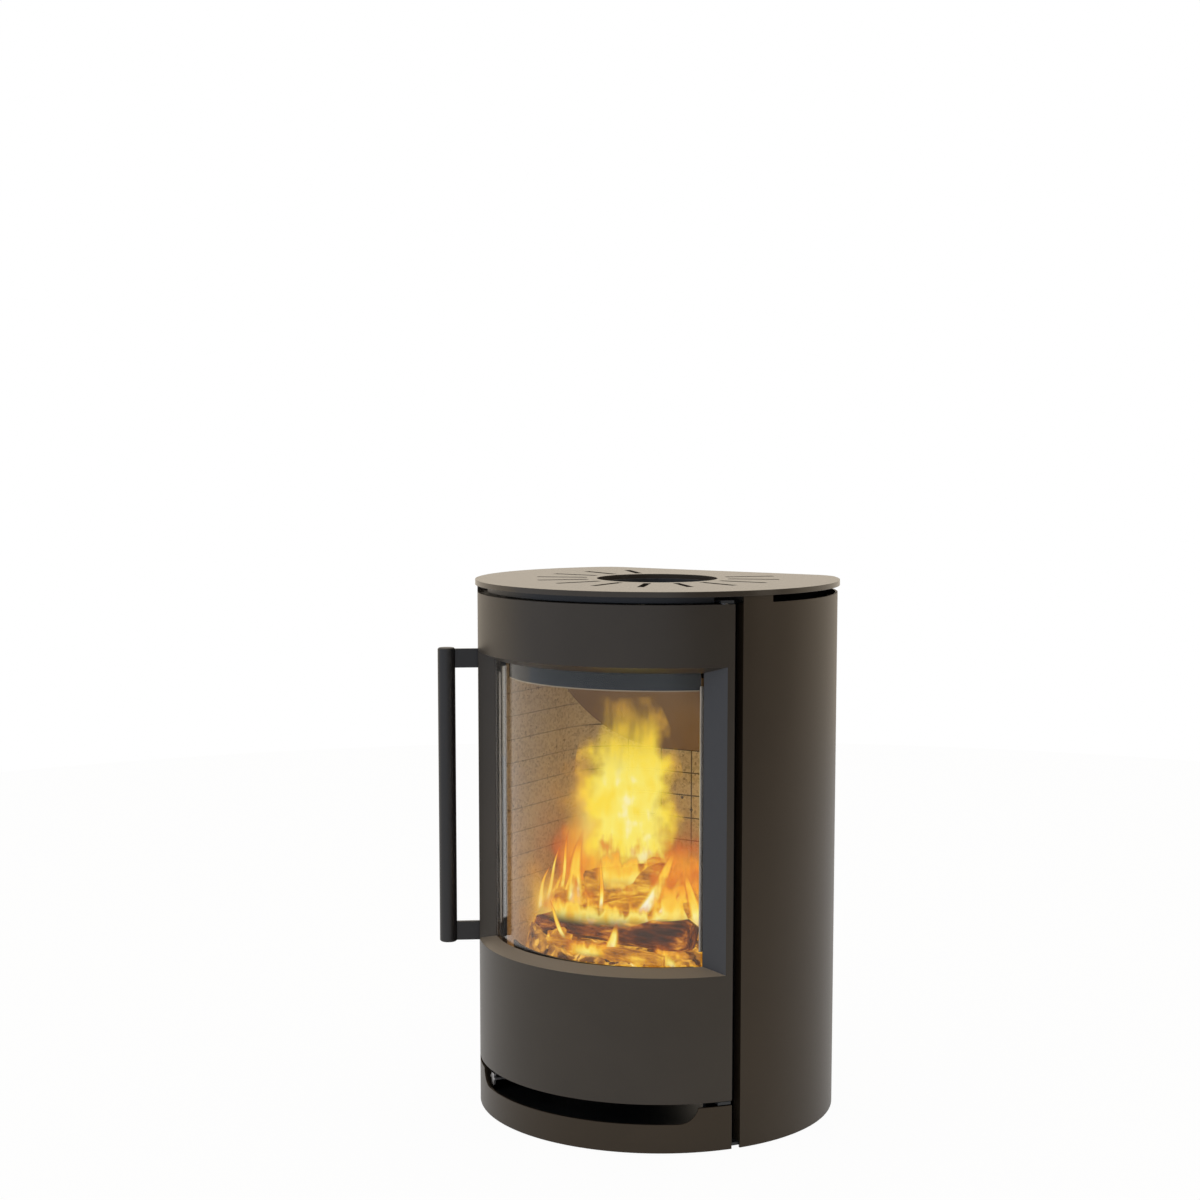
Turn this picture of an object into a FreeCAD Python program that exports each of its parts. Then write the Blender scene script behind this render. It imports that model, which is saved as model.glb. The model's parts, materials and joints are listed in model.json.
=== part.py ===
import FreeCAD, Part
import Sketcher
import os
import re

# Wall-hung wood stove: a round casing with a flat back, a curved glass door hinged on its right,
# a lined firebox with an ash pan below it, and an air valve worked by a lever in the plinth.
# Millimetres and degrees, +Z up, front towards -Y, origin on the wall between the bracket's bolts.
# Inside the formulas z starts at the stove's underside and x, y at the axis of the round casing.
# Azimuths are measured from the front, positive towards the right.

SIZES = (
    # casing
    ("stove_height", 730, "underside to top of the top plate"),
    ("plate_radius", 250, "radius of the top plate"),
    ("plate_thickness", 7, "top plate"),
    ("plate_back", 175, "axis to the flat back of the top plate"),
    ("plate_corner", 50, "rounding of the plate's two back corners"),
    ("plate_overhang", 3, "plate beyond the casing"),
    ("slot_count", 13, "convection slots in the plate"),
    ("slot_pitch", 22.5, "angle between slots"),
    ("slot_start", 15, "flue hole edge to a slot's inner end"),
    ("slot_length", 70, "slot, radially"),
    ("slot_width", 10, "slot, across"),
    ("sheet_thickness", 3, "casing sheets"),
    ("rear_inset", 5, "rear panel inside the plate's back"),
    ("side_gap_angle", 2.8, "open gap between door and side panel"),
    ("convection_gap", 9.5, "side panel's top to the plate"),
    ("tab_angle", 10.5, "raised tab at a side panel's front"),
    ("flange_depth", 18, "folded edge of a side panel"),
    ("lip_depth", 19, "folded foot of the casing sheets"),
    ("strip_inset", 12, "closing strip behind the casing's face"),
    ("strip_angle", 48, "closing strip, half its span"),
    ("shield_start", 48.5, "corner shield's inner edge, in degrees"),
    ("shield_end", 75, "corner shield's outer edge, in degrees"),
    ("shield_drop", 24, "corner shield below the top plate"),
    ("base_thickness", 4, "base plate"),
    ("vent_width", 100, "convection slot in the rear panel"),
    ("vent_height", 8, "convection slot in the rear panel"),
    ("vent_pitch", 18, "spacing of the rear slots"),
    ("vent_count", 6, "slots in each row of the rear panel"),
    ("upper_vent_drop", 130, "top of the stove to the lowest slot of the upper row"),
    ("lower_vent_level", 150, "lowest slot of the lower row"),
    ("screw_radius", 4, "screw heads"),
    ("screw_head", 2, "screw head height"),
    ("screw_margin", 60, "outermost screws from the sheet's ends"),
    # plinth
    ("lower_panel_height", 58.6, "plinth panel under the door"),
    ("door_gap", 6.4, "plinth panel to door"),
    ("scoop_depth", 20.6, "finger scoop in the plinth panel"),
    ("scoop_angle", 36.9, "flat part of the scoop, half its span"),
    ("scoop_corner", 27, "rounded ends of the scoop"),
    # door
    ("door_half_angle", 53.7, "half the door's span"),
    ("door_depth", 20, "cast door frame, radially"),
    ("door_wall", 8, "face of the hollow door panels"),
    ("door_top_gap", 10, "door to top plate"),
    ("upper_rail", 80, "door face above the window"),
    ("lower_rail", 167, "door face below the window"),
    ("stile_angle", 2.3, "door face beside the window"),
    ("bevel_angle", 6.1, "sloping side of the window"),
    ("bevel_rise", 9, "sloping sill and head of the window"),
    ("panel_rim", 20, "rim round the hollow backs of the door panels"),
    ("glass_lap_angle", 2.2, "glass beyond the window's side"),
    ("glass_lap", 12, "glass beyond the window's sill and head"),
    ("glass_thickness", 4, "ceramic glass"),
    ("glass_seal", 3, "flat seal in front of the glass"),
    ("seal_margin", 2, "flat seal back from the window's edge"),
    ("retainer_thickness", 2, "strips behind the glass"),
    ("curve_play", 0.4, "between curved faces that lie on each other"),
    ("retainer_lap_angle", 0.7, "strip inside the window's edge"),
    ("retainer_leg_angle", 0.7, "strip's folded leg"),
    ("retainer_margin", 18, "strip's end inside the window"),
    ("retainer_screws", 3, "screws on each strip"),
    ("rope_depth", 10.6, "door rope, radially"),
    ("rope_width", 10, "door rope, up and down"),
    ("rope_angle", 2.5, "door rope, round the casing"),
    ("rope_inset", 7, "door rope from the door's lower edge"),
    ("seal_gap", 0.4, "door rope to the front frame"),
    ("shield_thickness", 2, "heat shield behind the lower panel"),
    # hinge
    ("hinge_inset", 10, "hinge axis behind the casing's face"),
    ("hinge_angle", 2.4, "hinge axis from the door's edge"),
    ("hinge_clearance", 1, "door to hinge bracket"),
    ("hinge_plate", 4, "hinge bracket"),
    ("hinge_width", 18, "hinge bracket, across"),
    ("hinge_reach", 9, "hinge bracket beyond the pin"),
    ("pin_radius", 5, "hinge pins"),
    ("pin_length", 21, "pin inside its bush"),
    ("pin_play", 0.05, "running fit of pins and pivots"),
    ("bush_wall", 2, "hinge bush"),
    ("bush_length", 24, "hinge bush"),
    # handle
    ("bar_radius", 12, "handle bar"),
    ("bar_chamfer", 1.5, "handle bar's ends"),
    ("bar_reach", 43, "handle bar's axis from the casing's face"),
    ("bar_overlap", 3, "bar beyond the window's sill and head"),
    ("bracket_thickness", 6, "handle brackets"),
    ("bracket_height", 26, "handle brackets"),
    ("bracket_inset", 1.5, "bracket from the bar's end"),
    ("bracket_depth", 16, "bracket beside the door's edge"),
    # catch
    ("tongue_angle", 31.9, "catch tongue's azimuth, to the left"),
    ("tongue_thickness", 5, "catch tongue"),
    ("tongue_height", 16, "catch tongue"),
    ("tongue_length", 55, "catch tongue behind the door"),
    ("tongue_drop", 25, "catch tongue below the door's top"),
    ("roller_radius", 6, "catch rollers"),
    ("roller_play", 0.5, "roller to tongue"),
    ("roller_bore", 2.5, "roller pins"),
    ("roller_setback", 6, "roller axis before the tongue's tip"),
    ("catch_plate", 2, "catch bracket's sheets"),
    ("catch_margin", 8, "catch bracket round the rollers"),
    ("catch_slot", 6, "front frame's slot round the tongue"),
    # firebox
    ("front_frame_thickness", 6, "curved front of the firebox"),
    ("front_frame_angle", 70, "half the front frame's span"),
    ("frame_rebate", 0.1, "front frame's opening beyond the glass, in degrees"),
    ("fire_sill", 11, "front frame's fire opening above the hearth"),
    ("fire_head", 6, "front frame's fire opening below the firebox top"),
    ("ash_opening_angle", 42, "half the ash opening's span"),
    ("ash_opening_margin", 6, "ash opening inside the ash box"),
    ("firebox_side", 88, "casing's inside to the side lining's face"),
    ("firebox_rear", 67, "rear panel to the back lining's face"),
    ("firebox_flat", 57, "half the flat part of the back lining"),
    ("lining_thickness", 22, "firebox lining boards"),
    ("lining_gap", 0.5, "lining to shell"),
    ("shell_thickness", 4, "firebox shell"),
    ("ash_floor_level", 78, "underside of the ash box"),
    ("floor_level", 190, "underside of the firebox floor"),
    ("floor_thickness", 5, "firebox floor and top"),
    ("hearth_thickness", 20, "hearth boards"),
    ("firebox_drop", 90, "top of the stove to the underside of the firebox top"),
    ("groove_count", 12, "courses pressed into the lining"),
    ("groove_width", 1.6, "pressed joints"),
    ("groove_depth", 1.2, "pressed joints"),
    ("joint_pitch", 50, "upright pressed joints of the back lining"),
    ("joint_count", 3, "upright pressed joints of the back lining"),
    ("air_hole_radius", 2.3, "air holes in the back lining"),
    ("air_hole_pitch", 30, "air holes along a row"),
    ("air_hole_count", 3, "air holes in a row"),
    ("air_hole_drop", 339, "stove top to the lower row of air holes"),
    ("air_hole_rise", 17, "upper row above the lower one"),
    ("baffle_drop", 42, "firebox top to the baffle's underside at its front edge"),
    ("baffle_fall", 121, "baffle's front lip to its back edge, both at the underside"),
    ("baffle_slope", 45, "baffle's fall to the back, in degrees"),
    ("baffle_thickness", 14, "baffle board"),
    ("baffle_throat", 23, "baffle's front edge behind the deflector"),
    ("deflector_gap", 4, "deflector behind the front frame"),
    ("deflector_angle", 46, "half the deflector's span"),
    ("retainer_height", 20, "log retainer above the hearth"),
    ("retainer_setback", 7, "log retainer behind the front frame"),
    ("log_retainer_angle", 44, "half the log retainer's span"),
    ("grate_width", 180, "grate, left to right"),
    ("grate_depth", 150, "grate, front to back"),
    ("grate_thickness", 12, "grate"),
    ("grate_offset", 20, "grate's centre before the axis"),
    ("grate_ledge", 10, "floor under the grate's edge"),
    ("grate_play", 0.5, "grate to hearth boards"),
    ("grate_slot", 9, "slots of the grate"),
    ("grate_slot_pitch", 18, "spacing of the grate's slots"),
    ("grate_slot_count", 9, "slots of the grate"),
    ("grate_rim", 14, "rim of the grate"),
    ("duct_half_width", 54, "air duct behind the shell"),
    ("duct_depth", 20, "air duct behind the shell"),
    ("duct_drop", 278, "stove top to the top of the air duct"),
    ("duct_sheet", 2, "air duct's sheet"),
    ("stay_radius", 10, "stays between shell and rear panel"),
    ("stay_offset", 45, "stays left and right of the axis"),
    ("support_offset", 120, "firebox supports left and right of the axis"),
    ("support_length", 160, "firebox supports, front to back"),
    ("support_foot", 20, "firebox support's folded foot"),
    # ash pan
    ("pan_side", 30, "side lining's face to the ash pan"),
    ("pan_setback", 90, "ash pan's front behind the front frame"),
    ("pan_back", 80, "ash pan's back behind the axis"),
    ("pan_height", 78, "ash pan"),
    ("pan_sheet", 2, "ash pan"),
    ("pan_runner", 3, "runners under the ash pan"),
    ("pan_grip", 90, "ash pan's grip"),
    ("pan_grip_reach", 14, "ash pan's grip before its front"),
    # flue
    ("collar_bore", 75.5, "inside of the collar for a 150 pipe"),
    ("collar_wall", 3, "flue collar"),
    ("collar_clearance", 4.5, "collar to the hole in the plate"),
    ("collar_drop", 6, "collar's rim below the plate's top"),
    ("collar_stop", 3, "ledge that the pipe stands on"),
    ("collar_flange", 14, "collar's foot"),
    # air valve
    ("valve_radius", 66, "turning valve disc"),
    ("valve_sheet", 3, "valve disc, seat and lever"),
    ("valve_gap", 0.3, "disc to seat"),
    ("air_box_height", 20, "air box between seat and ash box"),
    ("air_box_radius", 75, "air box"),
    ("port_inner", 22, "valve ports"),
    ("port_outer", 58, "valve ports"),
    ("port_angle", 70, "valve ports"),
    ("lever_width", 18, "air lever"),
    ("lever_start_angle", -38, "air lever's azimuth at rest"),
    ("lever_setback", 3, "lever's tab behind the plinth panel"),
    ("lever_tab_height", 16, "upturned end of the lever"),
    ("lever_tab_width", 10, "upturned end of the lever"),
    ("pivot_head", 9, "head of the valve pivot"),
    ("pivot_head_height", 3, "head of the valve pivot"),
    ("spigot_radius", 50, "fresh air spigot"),
    ("spigot_wall", 2, "fresh air spigot"),
    ("spigot_level", 62, "fresh air spigot's axis"),
    ("spigot_inside", 17, "spigot inside the rear panel"),
    ("spigot_outside", 15, "spigot behind the rear panel"),
    ("spigot_flange", 12, "spigot's flange"),
    # wall mount
    ("wall_gap", 25, "plate's back to the wall"),
    ("mount_drop", 245, "top of the stove to the bolt pattern's centre"),
    ("wall_sheet", 4, "wall bracket and hanger rail"),
    ("wall_half_width", 150, "wall bracket"),
    ("wall_drop", 55, "wall bracket below the bolt pattern's centre"),
    ("wall_rise", 63, "wall bracket above the bolt pattern's centre"),
    ("wall_step", 12, "hook of the wall bracket, off the wall"),
    ("wall_hook", 17, "hook of the wall bracket, upwards"),
    ("bolt_radius", 5, "wall bolt holes"),
    ("bolt_spacing", 220, "wall bolts, across"),
    ("bolt_rise", 60, "wall bolts, up and down"),
    ("rail_half_width", 140, "hanger rail"),
    ("rail_drop", 25, "hanger rail below the hook's top"),
    ("hook_play", 2, "hook to hanger rail"),
    ("rail_screw_spacing", 80, "hanger rail's screws"),
    ("spacer_radius", 8, "lower wall spacers"),
    ("spacer_pad", 15, "pads of the lower wall spacers"),
    ("spacer_pad_thickness", 6, "pads of the lower wall spacers"),
    ("spacer_margin", 58, "lower wall spacers inside the rear panel's edges"),
    ("spacer_level", 90, "lower wall spacers above the underside"),
    # cutting
    ("overrun", 2, "how far a cut passes the surface"),
)

doc = FreeCAD.newDocument("wall_stove")
sheet = doc.addObject("Spreadsheet::Sheet", "Sizes")
for row, (name, number, note) in enumerate(SIZES, 1):
    sheet.set(f"A{row}", name)
    sheet.set(f"B{row}", str(number))
    sheet.set(f"C{row}", note)
    sheet.setAlias(f"B{row}", name)
doc.recompute()

NAMES = {name for name, number, note in SIZES}
SUBPARTS = []


def sized(text):
    """Point each size in a formula at its cell of the sheet."""
    return re.sub(r"[a-z][a-z_]*", lambda word: "Sizes." * (word[0] in NAMES) + word[0], text)


def value(text):
    return float(sheet.evalExpression(sized(text)))


def count(name):
    return int(value(name))


# Driven sizes, each a formula over the sheet
CASING = "(plate_radius - plate_overhang)"
CASING_IN = f"({CASING} - sheet_thickness)"
PLATE_UNDER = "(stove_height - plate_thickness)"
PLATE_HOLE = "(collar_bore + collar_wall + collar_clearance)"
REAR_OUT = "(plate_back - rear_inset)"
REAR_IN = f"({REAR_OUT} - sheet_thickness)"
REAR_HALF = f"sqrt({CASING_IN} ^ 2 - {REAR_IN} ^ 2)"
WALL = "(plate_back + wall_gap)"
MOUNT = "(stove_height - mount_drop)"
SPACER_X = f"({REAR_HALF} - spacer_margin)"
BASE_TOP = "(sheet_thickness + base_thickness)"
PANEL_ANGLE = "(door_half_angle + side_gap_angle)"
PANEL_TOP = f"({PLATE_UNDER} - convection_gap)"
DOOR_BOTTOM = "(lower_panel_height + door_gap)"
DOOR_TOP = f"({PLATE_UNDER} - door_top_gap)"
DOOR_BACK = f"({CASING} - door_depth)"
DOOR_SEAT = f"({DOOR_BACK} - curve_play)"
WINDOW_LOW = f"({DOOR_BOTTOM} + lower_rail)"
WINDOW_HIGH = f"({DOOR_TOP} - upper_rail)"
WINDOW_ANGLE = "(door_half_angle - stile_angle)"
SIGHT_ANGLE = f"({WINDOW_ANGLE} - bevel_angle)"
SIGHT_LOW = f"({WINDOW_LOW} + bevel_rise)"
SIGHT_HIGH = f"({WINDOW_HIGH} - bevel_rise)"
GLASS_ANGLE = f"({SIGHT_ANGLE} + glass_lap_angle)"
GLASS_OUT = f"({DOOR_BACK} - glass_seal)"
GLASS_IN = f"({GLASS_OUT} - glass_thickness)"
ROPE_OUTER = "(door_half_angle - rope_angle)"
FRAME_OUT = f"({DOOR_BACK} - rope_depth - seal_gap)"
FRAME_IN = f"({FRAME_OUT} - front_frame_thickness)"
FRAME_LOW = f"({DOOR_BOTTOM} - hinge_clearance)"
FRAME_HIGH = f"({DOOR_TOP} + hinge_clearance)"
HINGE_R = f"({CASING} - hinge_inset)"
HINGE_ANGLE = "(door_half_angle - hinge_angle)"
BUSH_OUT = "(pin_radius + pin_play + bush_wall)"
FIREBOX_HALF = f"({CASING_IN} - firebox_side)"
FIREBOX_BACK = f"({REAR_IN} - firebox_rear)"
FIREBOX_TOP = "(stove_height - firebox_drop)"
BAFFLE_LEVEL = f"({FIREBOX_TOP} - baffle_drop)"
LINING_HALF = f"({FIREBOX_HALF} + lining_thickness)"
LINING_BACK = f"({FIREBOX_BACK} + lining_thickness)"
SHELL_GAP = "(lining_thickness + lining_gap)"
SHELL_WALL = "(lining_thickness + lining_gap + shell_thickness)"
SHELL_BACK = f"({FIREBOX_BACK} + {SHELL_WALL})"
ASH_FLOOR_TOP = "(ash_floor_level + shell_thickness)"
FLOOR_TOP = "(floor_level + floor_thickness)"
HEARTH_TOP = f"({FLOOR_TOP} + hearth_thickness)"
TOP_UPPER = f"({FIREBOX_TOP} + floor_thickness)"
DEFLECTOR_OUT = f"({FRAME_IN} - deflector_gap)"
BAFFLE_FRONT = f"({DEFLECTOR_OUT} - sheet_thickness - baffle_throat)"
DUCT_HEIGHT = f"(stove_height - duct_drop - {ASH_FLOOR_TOP})"
PAN_HALF = f"({FIREBOX_HALF} - pan_side)"
PAN_FRONT = f"({FRAME_IN} - pan_setback)"
SEAT_TOP = "(ash_floor_level - air_box_height)"
DISC_TOP = f"({SEAT_TOP} - valve_sheet - valve_gap)"
LEVER_TOP = f"({DISC_TOP} - valve_sheet)"
PIVOT_BORE = "(pin_radius + pin_play)"
TONGUE_TOP = f"({DOOR_TOP} - tongue_drop)"
TONGUE_LOW = f"({TONGUE_TOP} - tongue_height)"
TONGUE_X = f"({DOOR_BACK} * sin(tongue_angle))"
TONGUE_ROOT = f"sqrt({DOOR_BACK} ^ 2 - ({TONGUE_X} - tongue_thickness / 2) ^ 2)"
ROLLER_Y = f"(tongue_length - roller_setback - {TONGUE_ROOT})"
ROLLER_STEP = "(tongue_thickness / 2 + roller_play + roller_radius)"
HOOK_TOP = f"({MOUNT} + wall_rise + wall_hook)"
HOOK_FRONT = f"({WALL} - wall_step - wall_sheet)"


def polar(azimuth, radius, across="0"):
    """x and y of a point at an azimuth and radius, moved sideways towards larger azimuths."""
    x = f"(({radius}) * sin({azimuth}) + ({across}) * cos({azimuth}))"
    y = f"(({across}) * sin({azimuth}) - ({radius}) * cos({azimuth}))"
    return x, y


def place(obj, x="0", y="0", z="0", yaw="0", pitch="0", roll="0", prop="Placement"):
    spot = f"vector({x}; {y}; {z})"
    turn = f"rotation({yaw}; {pitch}; {roll})"
    obj.setExpression(prop, sized(f"placement({spot}; {turn})"))
    return obj


def make(kind, **sizes):
    obj = doc.addObject(kind, kind.split("::")[1])
    for prop, text in sizes.items():
        obj.setExpression(prop, sized(text))
    return obj


def box(width, depth, height, x, y, z):
    return place(make("Part::Box", Length=width, Width=depth, Height=height), x, y, z)


def centred_box(half_width, depth, height, y, z):
    return box(f"2 * ({half_width})", depth, height, f"-({half_width})", y, z)


def radial_box(azimuth, radius, depth, across, width, z, height):
    """A box that starts at a radius and runs outwards, at an azimuth."""
    x, y = polar(azimuth, radius, across)
    block = make("Part::Box", Length=depth, Width=width, Height=height)
    return place(block, x, y, z, f"{azimuth} - 90")


def cylinder(radius, height, x, y, z):
    return place(make("Part::Cylinder", Radius=radius, Height=height), x, y, z)


def rod(radius, length, x, y, z, yaw):
    """A lying cylinder that runs along the yaw direction."""
    return place(make("Part::Cylinder", Radius=radius, Height=length), x, y, z, yaw, "90")


def sector(radius, z, height, start, end):
    obj = make("Part::Cylinder", Radius=radius, Height=height, Angle=f"({end}) - ({start})")
    return place(obj, z=z, yaw=f"{start} - 90")


def fuse(*shapes):
    obj = doc.addObject("Part::MultiFuse", "Fuse")
    obj.Shapes = shapes
    obj.Refine = True
    return obj


def cut(base, *tools):
    obj = doc.addObject("Part::Cut", "Cut")
    obj.Base = base
    obj.Tool = tools[0] if len(tools) == 1 else fuse(*tools)
    return obj


def common(one, other):
    obj = doc.addObject("Part::MultiCommon", "Common")
    obj.Shapes = [one, other]
    return obj


def bunch(*shapes):
    obj = doc.addObject("Part::Compound", "Bunch")
    obj.Links = shapes
    return obj


def mirrored(source):
    obj = doc.addObject("Part::Mirroring", "Mirror")
    obj.Source = source
    obj.Normal = (1, 0, 0)
    return obj


def ring(outer, inner, z, height, start, end):
    """A curved wall between two radii, between two azimuths."""
    core = cylinder(inner, f"({height}) + 2 * overrun", "0", "0", f"({z}) - overrun")
    return cut(sector(outer, z, height, start, end), core)


def arc_wall(outer, inner, z, height, half_angle):
    return ring(outer, inner, z, height, f"-({half_angle})", half_angle)


def draw(sketch, points):
    """Close an outline through points given as pairs of formulas."""
    corners = [FreeCAD.Vector(value(x), value(y)) for x, y in points]
    size = len(corners)
    for i in range(size):
        sketch.addGeometry(Part.LineSegment(corners[i], corners[(i + 1) % size]))
    for i in range(size):
        sketch.addConstraint(Sketcher.Constraint("Coincident", i, 2, (i + 1) % size, 1))
    for i, point in enumerate(points):
        for kind, text, number in zip(("DistanceX", "DistanceY"), point, corners[i]):
            row = sketch.addConstraint(Sketcher.Constraint(kind, -1, 1, i, 1, number))
            sketch.setExpression(f"Constraints[{row}]", sized(text))


def rectangle(left, low, right, high):
    return ((left, low), (right, low), (right, high), (left, high))


def prism(points, z, height):
    sketch = doc.addObject("Sketcher::SketchObject", "Plan")
    draw(sketch, points)
    place(sketch, z=z)
    obj = make("Part::Extrusion", LengthFwd=height)
    obj.Base = sketch
    obj.DirMode = "Custom"
    obj.Dir = (0, 0, 1)
    obj.Solid = True
    return obj


def turned(points):
    """Turn an outline of radius and height about the Z axis."""
    sketch = doc.addObject("Sketcher::SketchObject", "Section")
    draw(sketch, points)
    place(sketch, roll="90")
    obj = doc.addObject("Part::Revolution", "Turned")
    obj.Source = sketch
    obj.Axis = (0, 0, 1)
    obj.Angle = 360
    obj.Solid = True
    return obj


def hearth_block(grow, z, height):
    """The firebox plan with rounded back corners, grown outwards, open-ended to the front."""
    half = f"({FIREBOX_HALF} + {grow})"
    back = f"({FIREBOX_BACK} + {grow})"
    corner = f"({FIREBOX_HALF} - firebox_flat + {grow})"
    turn = f"({back} - {corner})"
    flat = f"({half} - {corner})"
    return fuse(
        centred_box(half, f"{turn} + {FRAME_OUT}", height, f"-{FRAME_OUT}", z),
        centred_box(flat, corner, height, turn, z),
        cylinder(corner, height, flat, turn, z),
        cylinder(corner, height, f"-{flat}", turn, z),
    )


def within(obj, radius, z, height):
    return common(obj, cylinder(radius, height, "0", "0", z))


def keep(obj, label):
    """Name a finished sub-part and move it from the casing's axis to the wall's origin."""
    if obj.TypeId in ("Part::Box", "Part::Cylinder", "Part::Extrusion", "Part::Revolution"):
        obj = bunch(obj)
    obj.Label = label
    place(obj, y=f"-{WALL}", z=f"-{MOUNT}")
    SUBPARTS.append(obj)
    return obj


def keep_pair(right, right_label, left_label):
    """Name a right-hand piece and its mirror image."""
    keep(mirrored(right), left_label)
    keep(bunch(right), right_label)


# Helpers for pieces made feature by feature
def body_sketch(body, role, z="0", yaw="0"):
    sketch = body.newObject("Sketcher::SketchObject", "Sketch")
    origin_plane = [f for f in body.Origin.OriginFeatures if f.Role == role][0]
    sketch.AttachmentSupport = (origin_plane, [""])
    sketch.MapMode = "FlatFace"
    place(sketch, z=z, yaw=yaw, prop="AttachmentOffset")
    return sketch


def feature(body, kind, sketch, length):
    obj = body.newObject("PartDesign::" + kind, kind)
    obj.Profile = sketch
    obj.setExpression("Length", sized(length))
    sketch.Visibility = False
    return obj


def pocket(body, sketch, length, reverse=False):
    """Cut a sketch's outline to a depth on one side of its plane."""
    obj = feature(body, "Pocket", sketch, length)
    obj.Reversed = reverse
    return obj


def repeated(body, original, sketch, axis, pitch, number):
    pattern = body.newObject("PartDesign::LinearPattern", "LinearPattern")
    pattern.Originals = [original]
    pattern.Direction = (sketch, [axis])
    pattern.setExpression("Length", sized(f"({pitch}) * ({number} - 1)"))
    pattern.setExpression("Occurrences", sized(number))
    body.Tip = pattern
    return pattern


def round_plan(sketch, radius, back):
    """A circle about the axis, cut off flat at the back."""
    big = value(radius)
    far = value(back)
    half = (big ** 2 - far ** 2) ** 0.5
    right = FreeCAD.Vector(half, far)
    left = FreeCAD.Vector(-half, far)
    front = FreeCAD.Vector(0, -big)
    sketch.addGeometry(Part.Arc(left, front, right))
    sketch.addGeometry(Part.LineSegment(right, left))
    arc = sketch.Geometry[0]
    ends = (1, 2) if arc.StartPoint.x < 0 else (2, 1)
    sketch.addConstraint(Sketcher.Constraint("Coincident", 0, 3, -1, 1))
    sketch.addConstraint(Sketcher.Constraint("Coincident", 0, ends[1], 1, 1))
    sketch.addConstraint(Sketcher.Constraint("Coincident", 0, ends[0], 1, 2))
    sketch.addConstraint(Sketcher.Constraint("Horizontal", 1))
    row = sketch.addConstraint(Sketcher.Constraint("Radius", 0, big))
    sketch.setExpression(f"Constraints[{row}]", sized(radius))
    row = sketch.addConstraint(Sketcher.Constraint("DistanceY", -1, 1, 1, 1, far))
    sketch.setExpression(f"Constraints[{row}]", sized(back))


def circle(sketch, x, y, radius):
    centre = FreeCAD.Vector(value(x), value(y))
    at = sketch.addGeometry(Part.Circle(centre, FreeCAD.Vector(0, 0, 1), value(radius)))
    row = sketch.addConstraint(Sketcher.Constraint("Radius", at, value(radius)))
    sketch.setExpression(f"Constraints[{row}]", sized(radius))
    for kind, text in (("DistanceX", x), ("DistanceY", y)):
        row = sketch.addConstraint(Sketcher.Constraint(kind, -1, 1, at, 3, value(text)))
        sketch.setExpression(f"Constraints[{row}]", sized(text))


# Casing
def top_plate():
    body = doc.addObject("PartDesign::Body", "TopPlate")
    plan = body_sketch(body, "XY_Plane", PLATE_UNDER)
    round_plan(plan, "plate_radius", "plate_back")
    plate = feature(body, "Pad", plan, "plate_thickness")
    doc.recompute()
    corners = []
    for i, edge in enumerate(plate.Shape.Edges, 1):
        low, high = edge.BoundBox.ZMin, edge.BoundBox.ZMax
        if high - low > value("plate_thickness") / 2:
            corners.append(f"Edge{i}")
    rounded = body.newObject("PartDesign::Fillet", "Corners")
    rounded.Base = (plate, corners)
    rounded.setExpression("Radius", sized("plate_corner"))
    hole = body_sketch(body, "XY_Plane", "stove_height")
    circle(hole, "0", "0", PLATE_HOLE)
    pocket(body, hole, "plate_thickness")
    half_sweep = "slot_pitch * (slot_count - 1) / 2"
    slot = body_sketch(body, "XY_Plane", "stove_height", f"-({half_sweep})")
    inner = f"({PLATE_HOLE} + slot_start)"
    half = "slot_width / 2"
    draw(slot, rectangle(f"-{half}", f"-({inner} + slot_length)", half, f"-{inner}"))
    opening = pocket(body, slot, "plate_thickness")
    slots = body.newObject("PartDesign::PolarPattern", "Slots")
    slots.Originals = [opening]
    slots.Axis = ([f for f in body.Origin.OriginFeatures if f.Role == "Z_Axis"][0], [""])
    slots.setExpression("Angle", sized("slot_pitch * (slot_count - 1)"))
    slots.setExpression("Occurrences", sized("slot_count"))
    body.Tip = slots
    keep(body, "top_plate")


def side_panels():
    rear_angle = f"(180 - acos({REAR_IN} / {CASING_IN}) / 1 deg)"
    shell = ring(CASING, CASING_IN, "0", PANEL_TOP, PANEL_ANGLE, rear_angle)
    tab = ring(CASING, CASING_IN, PANEL_TOP, "convection_gap",
               PANEL_ANGLE, f"{PANEL_ANGLE} + tab_angle")
    fold = radial_box(PANEL_ANGLE, f"{CASING} - flange_depth", "flange_depth - sheet_thickness / 2",
                      "0", "sheet_thickness", BASE_TOP, f"{PANEL_TOP} - {BASE_TOP}")
    lip_end = f"{rear_angle} - tab_angle"
    lip_start = f"{PANEL_ANGLE} + tab_angle / 2"
    lip = ring(CASING_IN, f"{CASING_IN} - lip_depth", "0", "sheet_thickness", lip_start, lip_end)
    rear = box("flange_depth + sheet_thickness", "sheet_thickness", f"{PANEL_TOP} - 2 * flange_depth",
               f"{REAR_HALF} - flange_depth", f"{REAR_IN} - sheet_thickness", "flange_depth")
    panel = fuse(shell, tab, fold, lip, rear)
    back = centred_box(CASING, CASING, f"{PLATE_UNDER} + 2 * overrun", REAR_IN, "-overrun")
    keep_pair(cut(panel, back), "right_side_panel", "left_side_panel")


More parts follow.
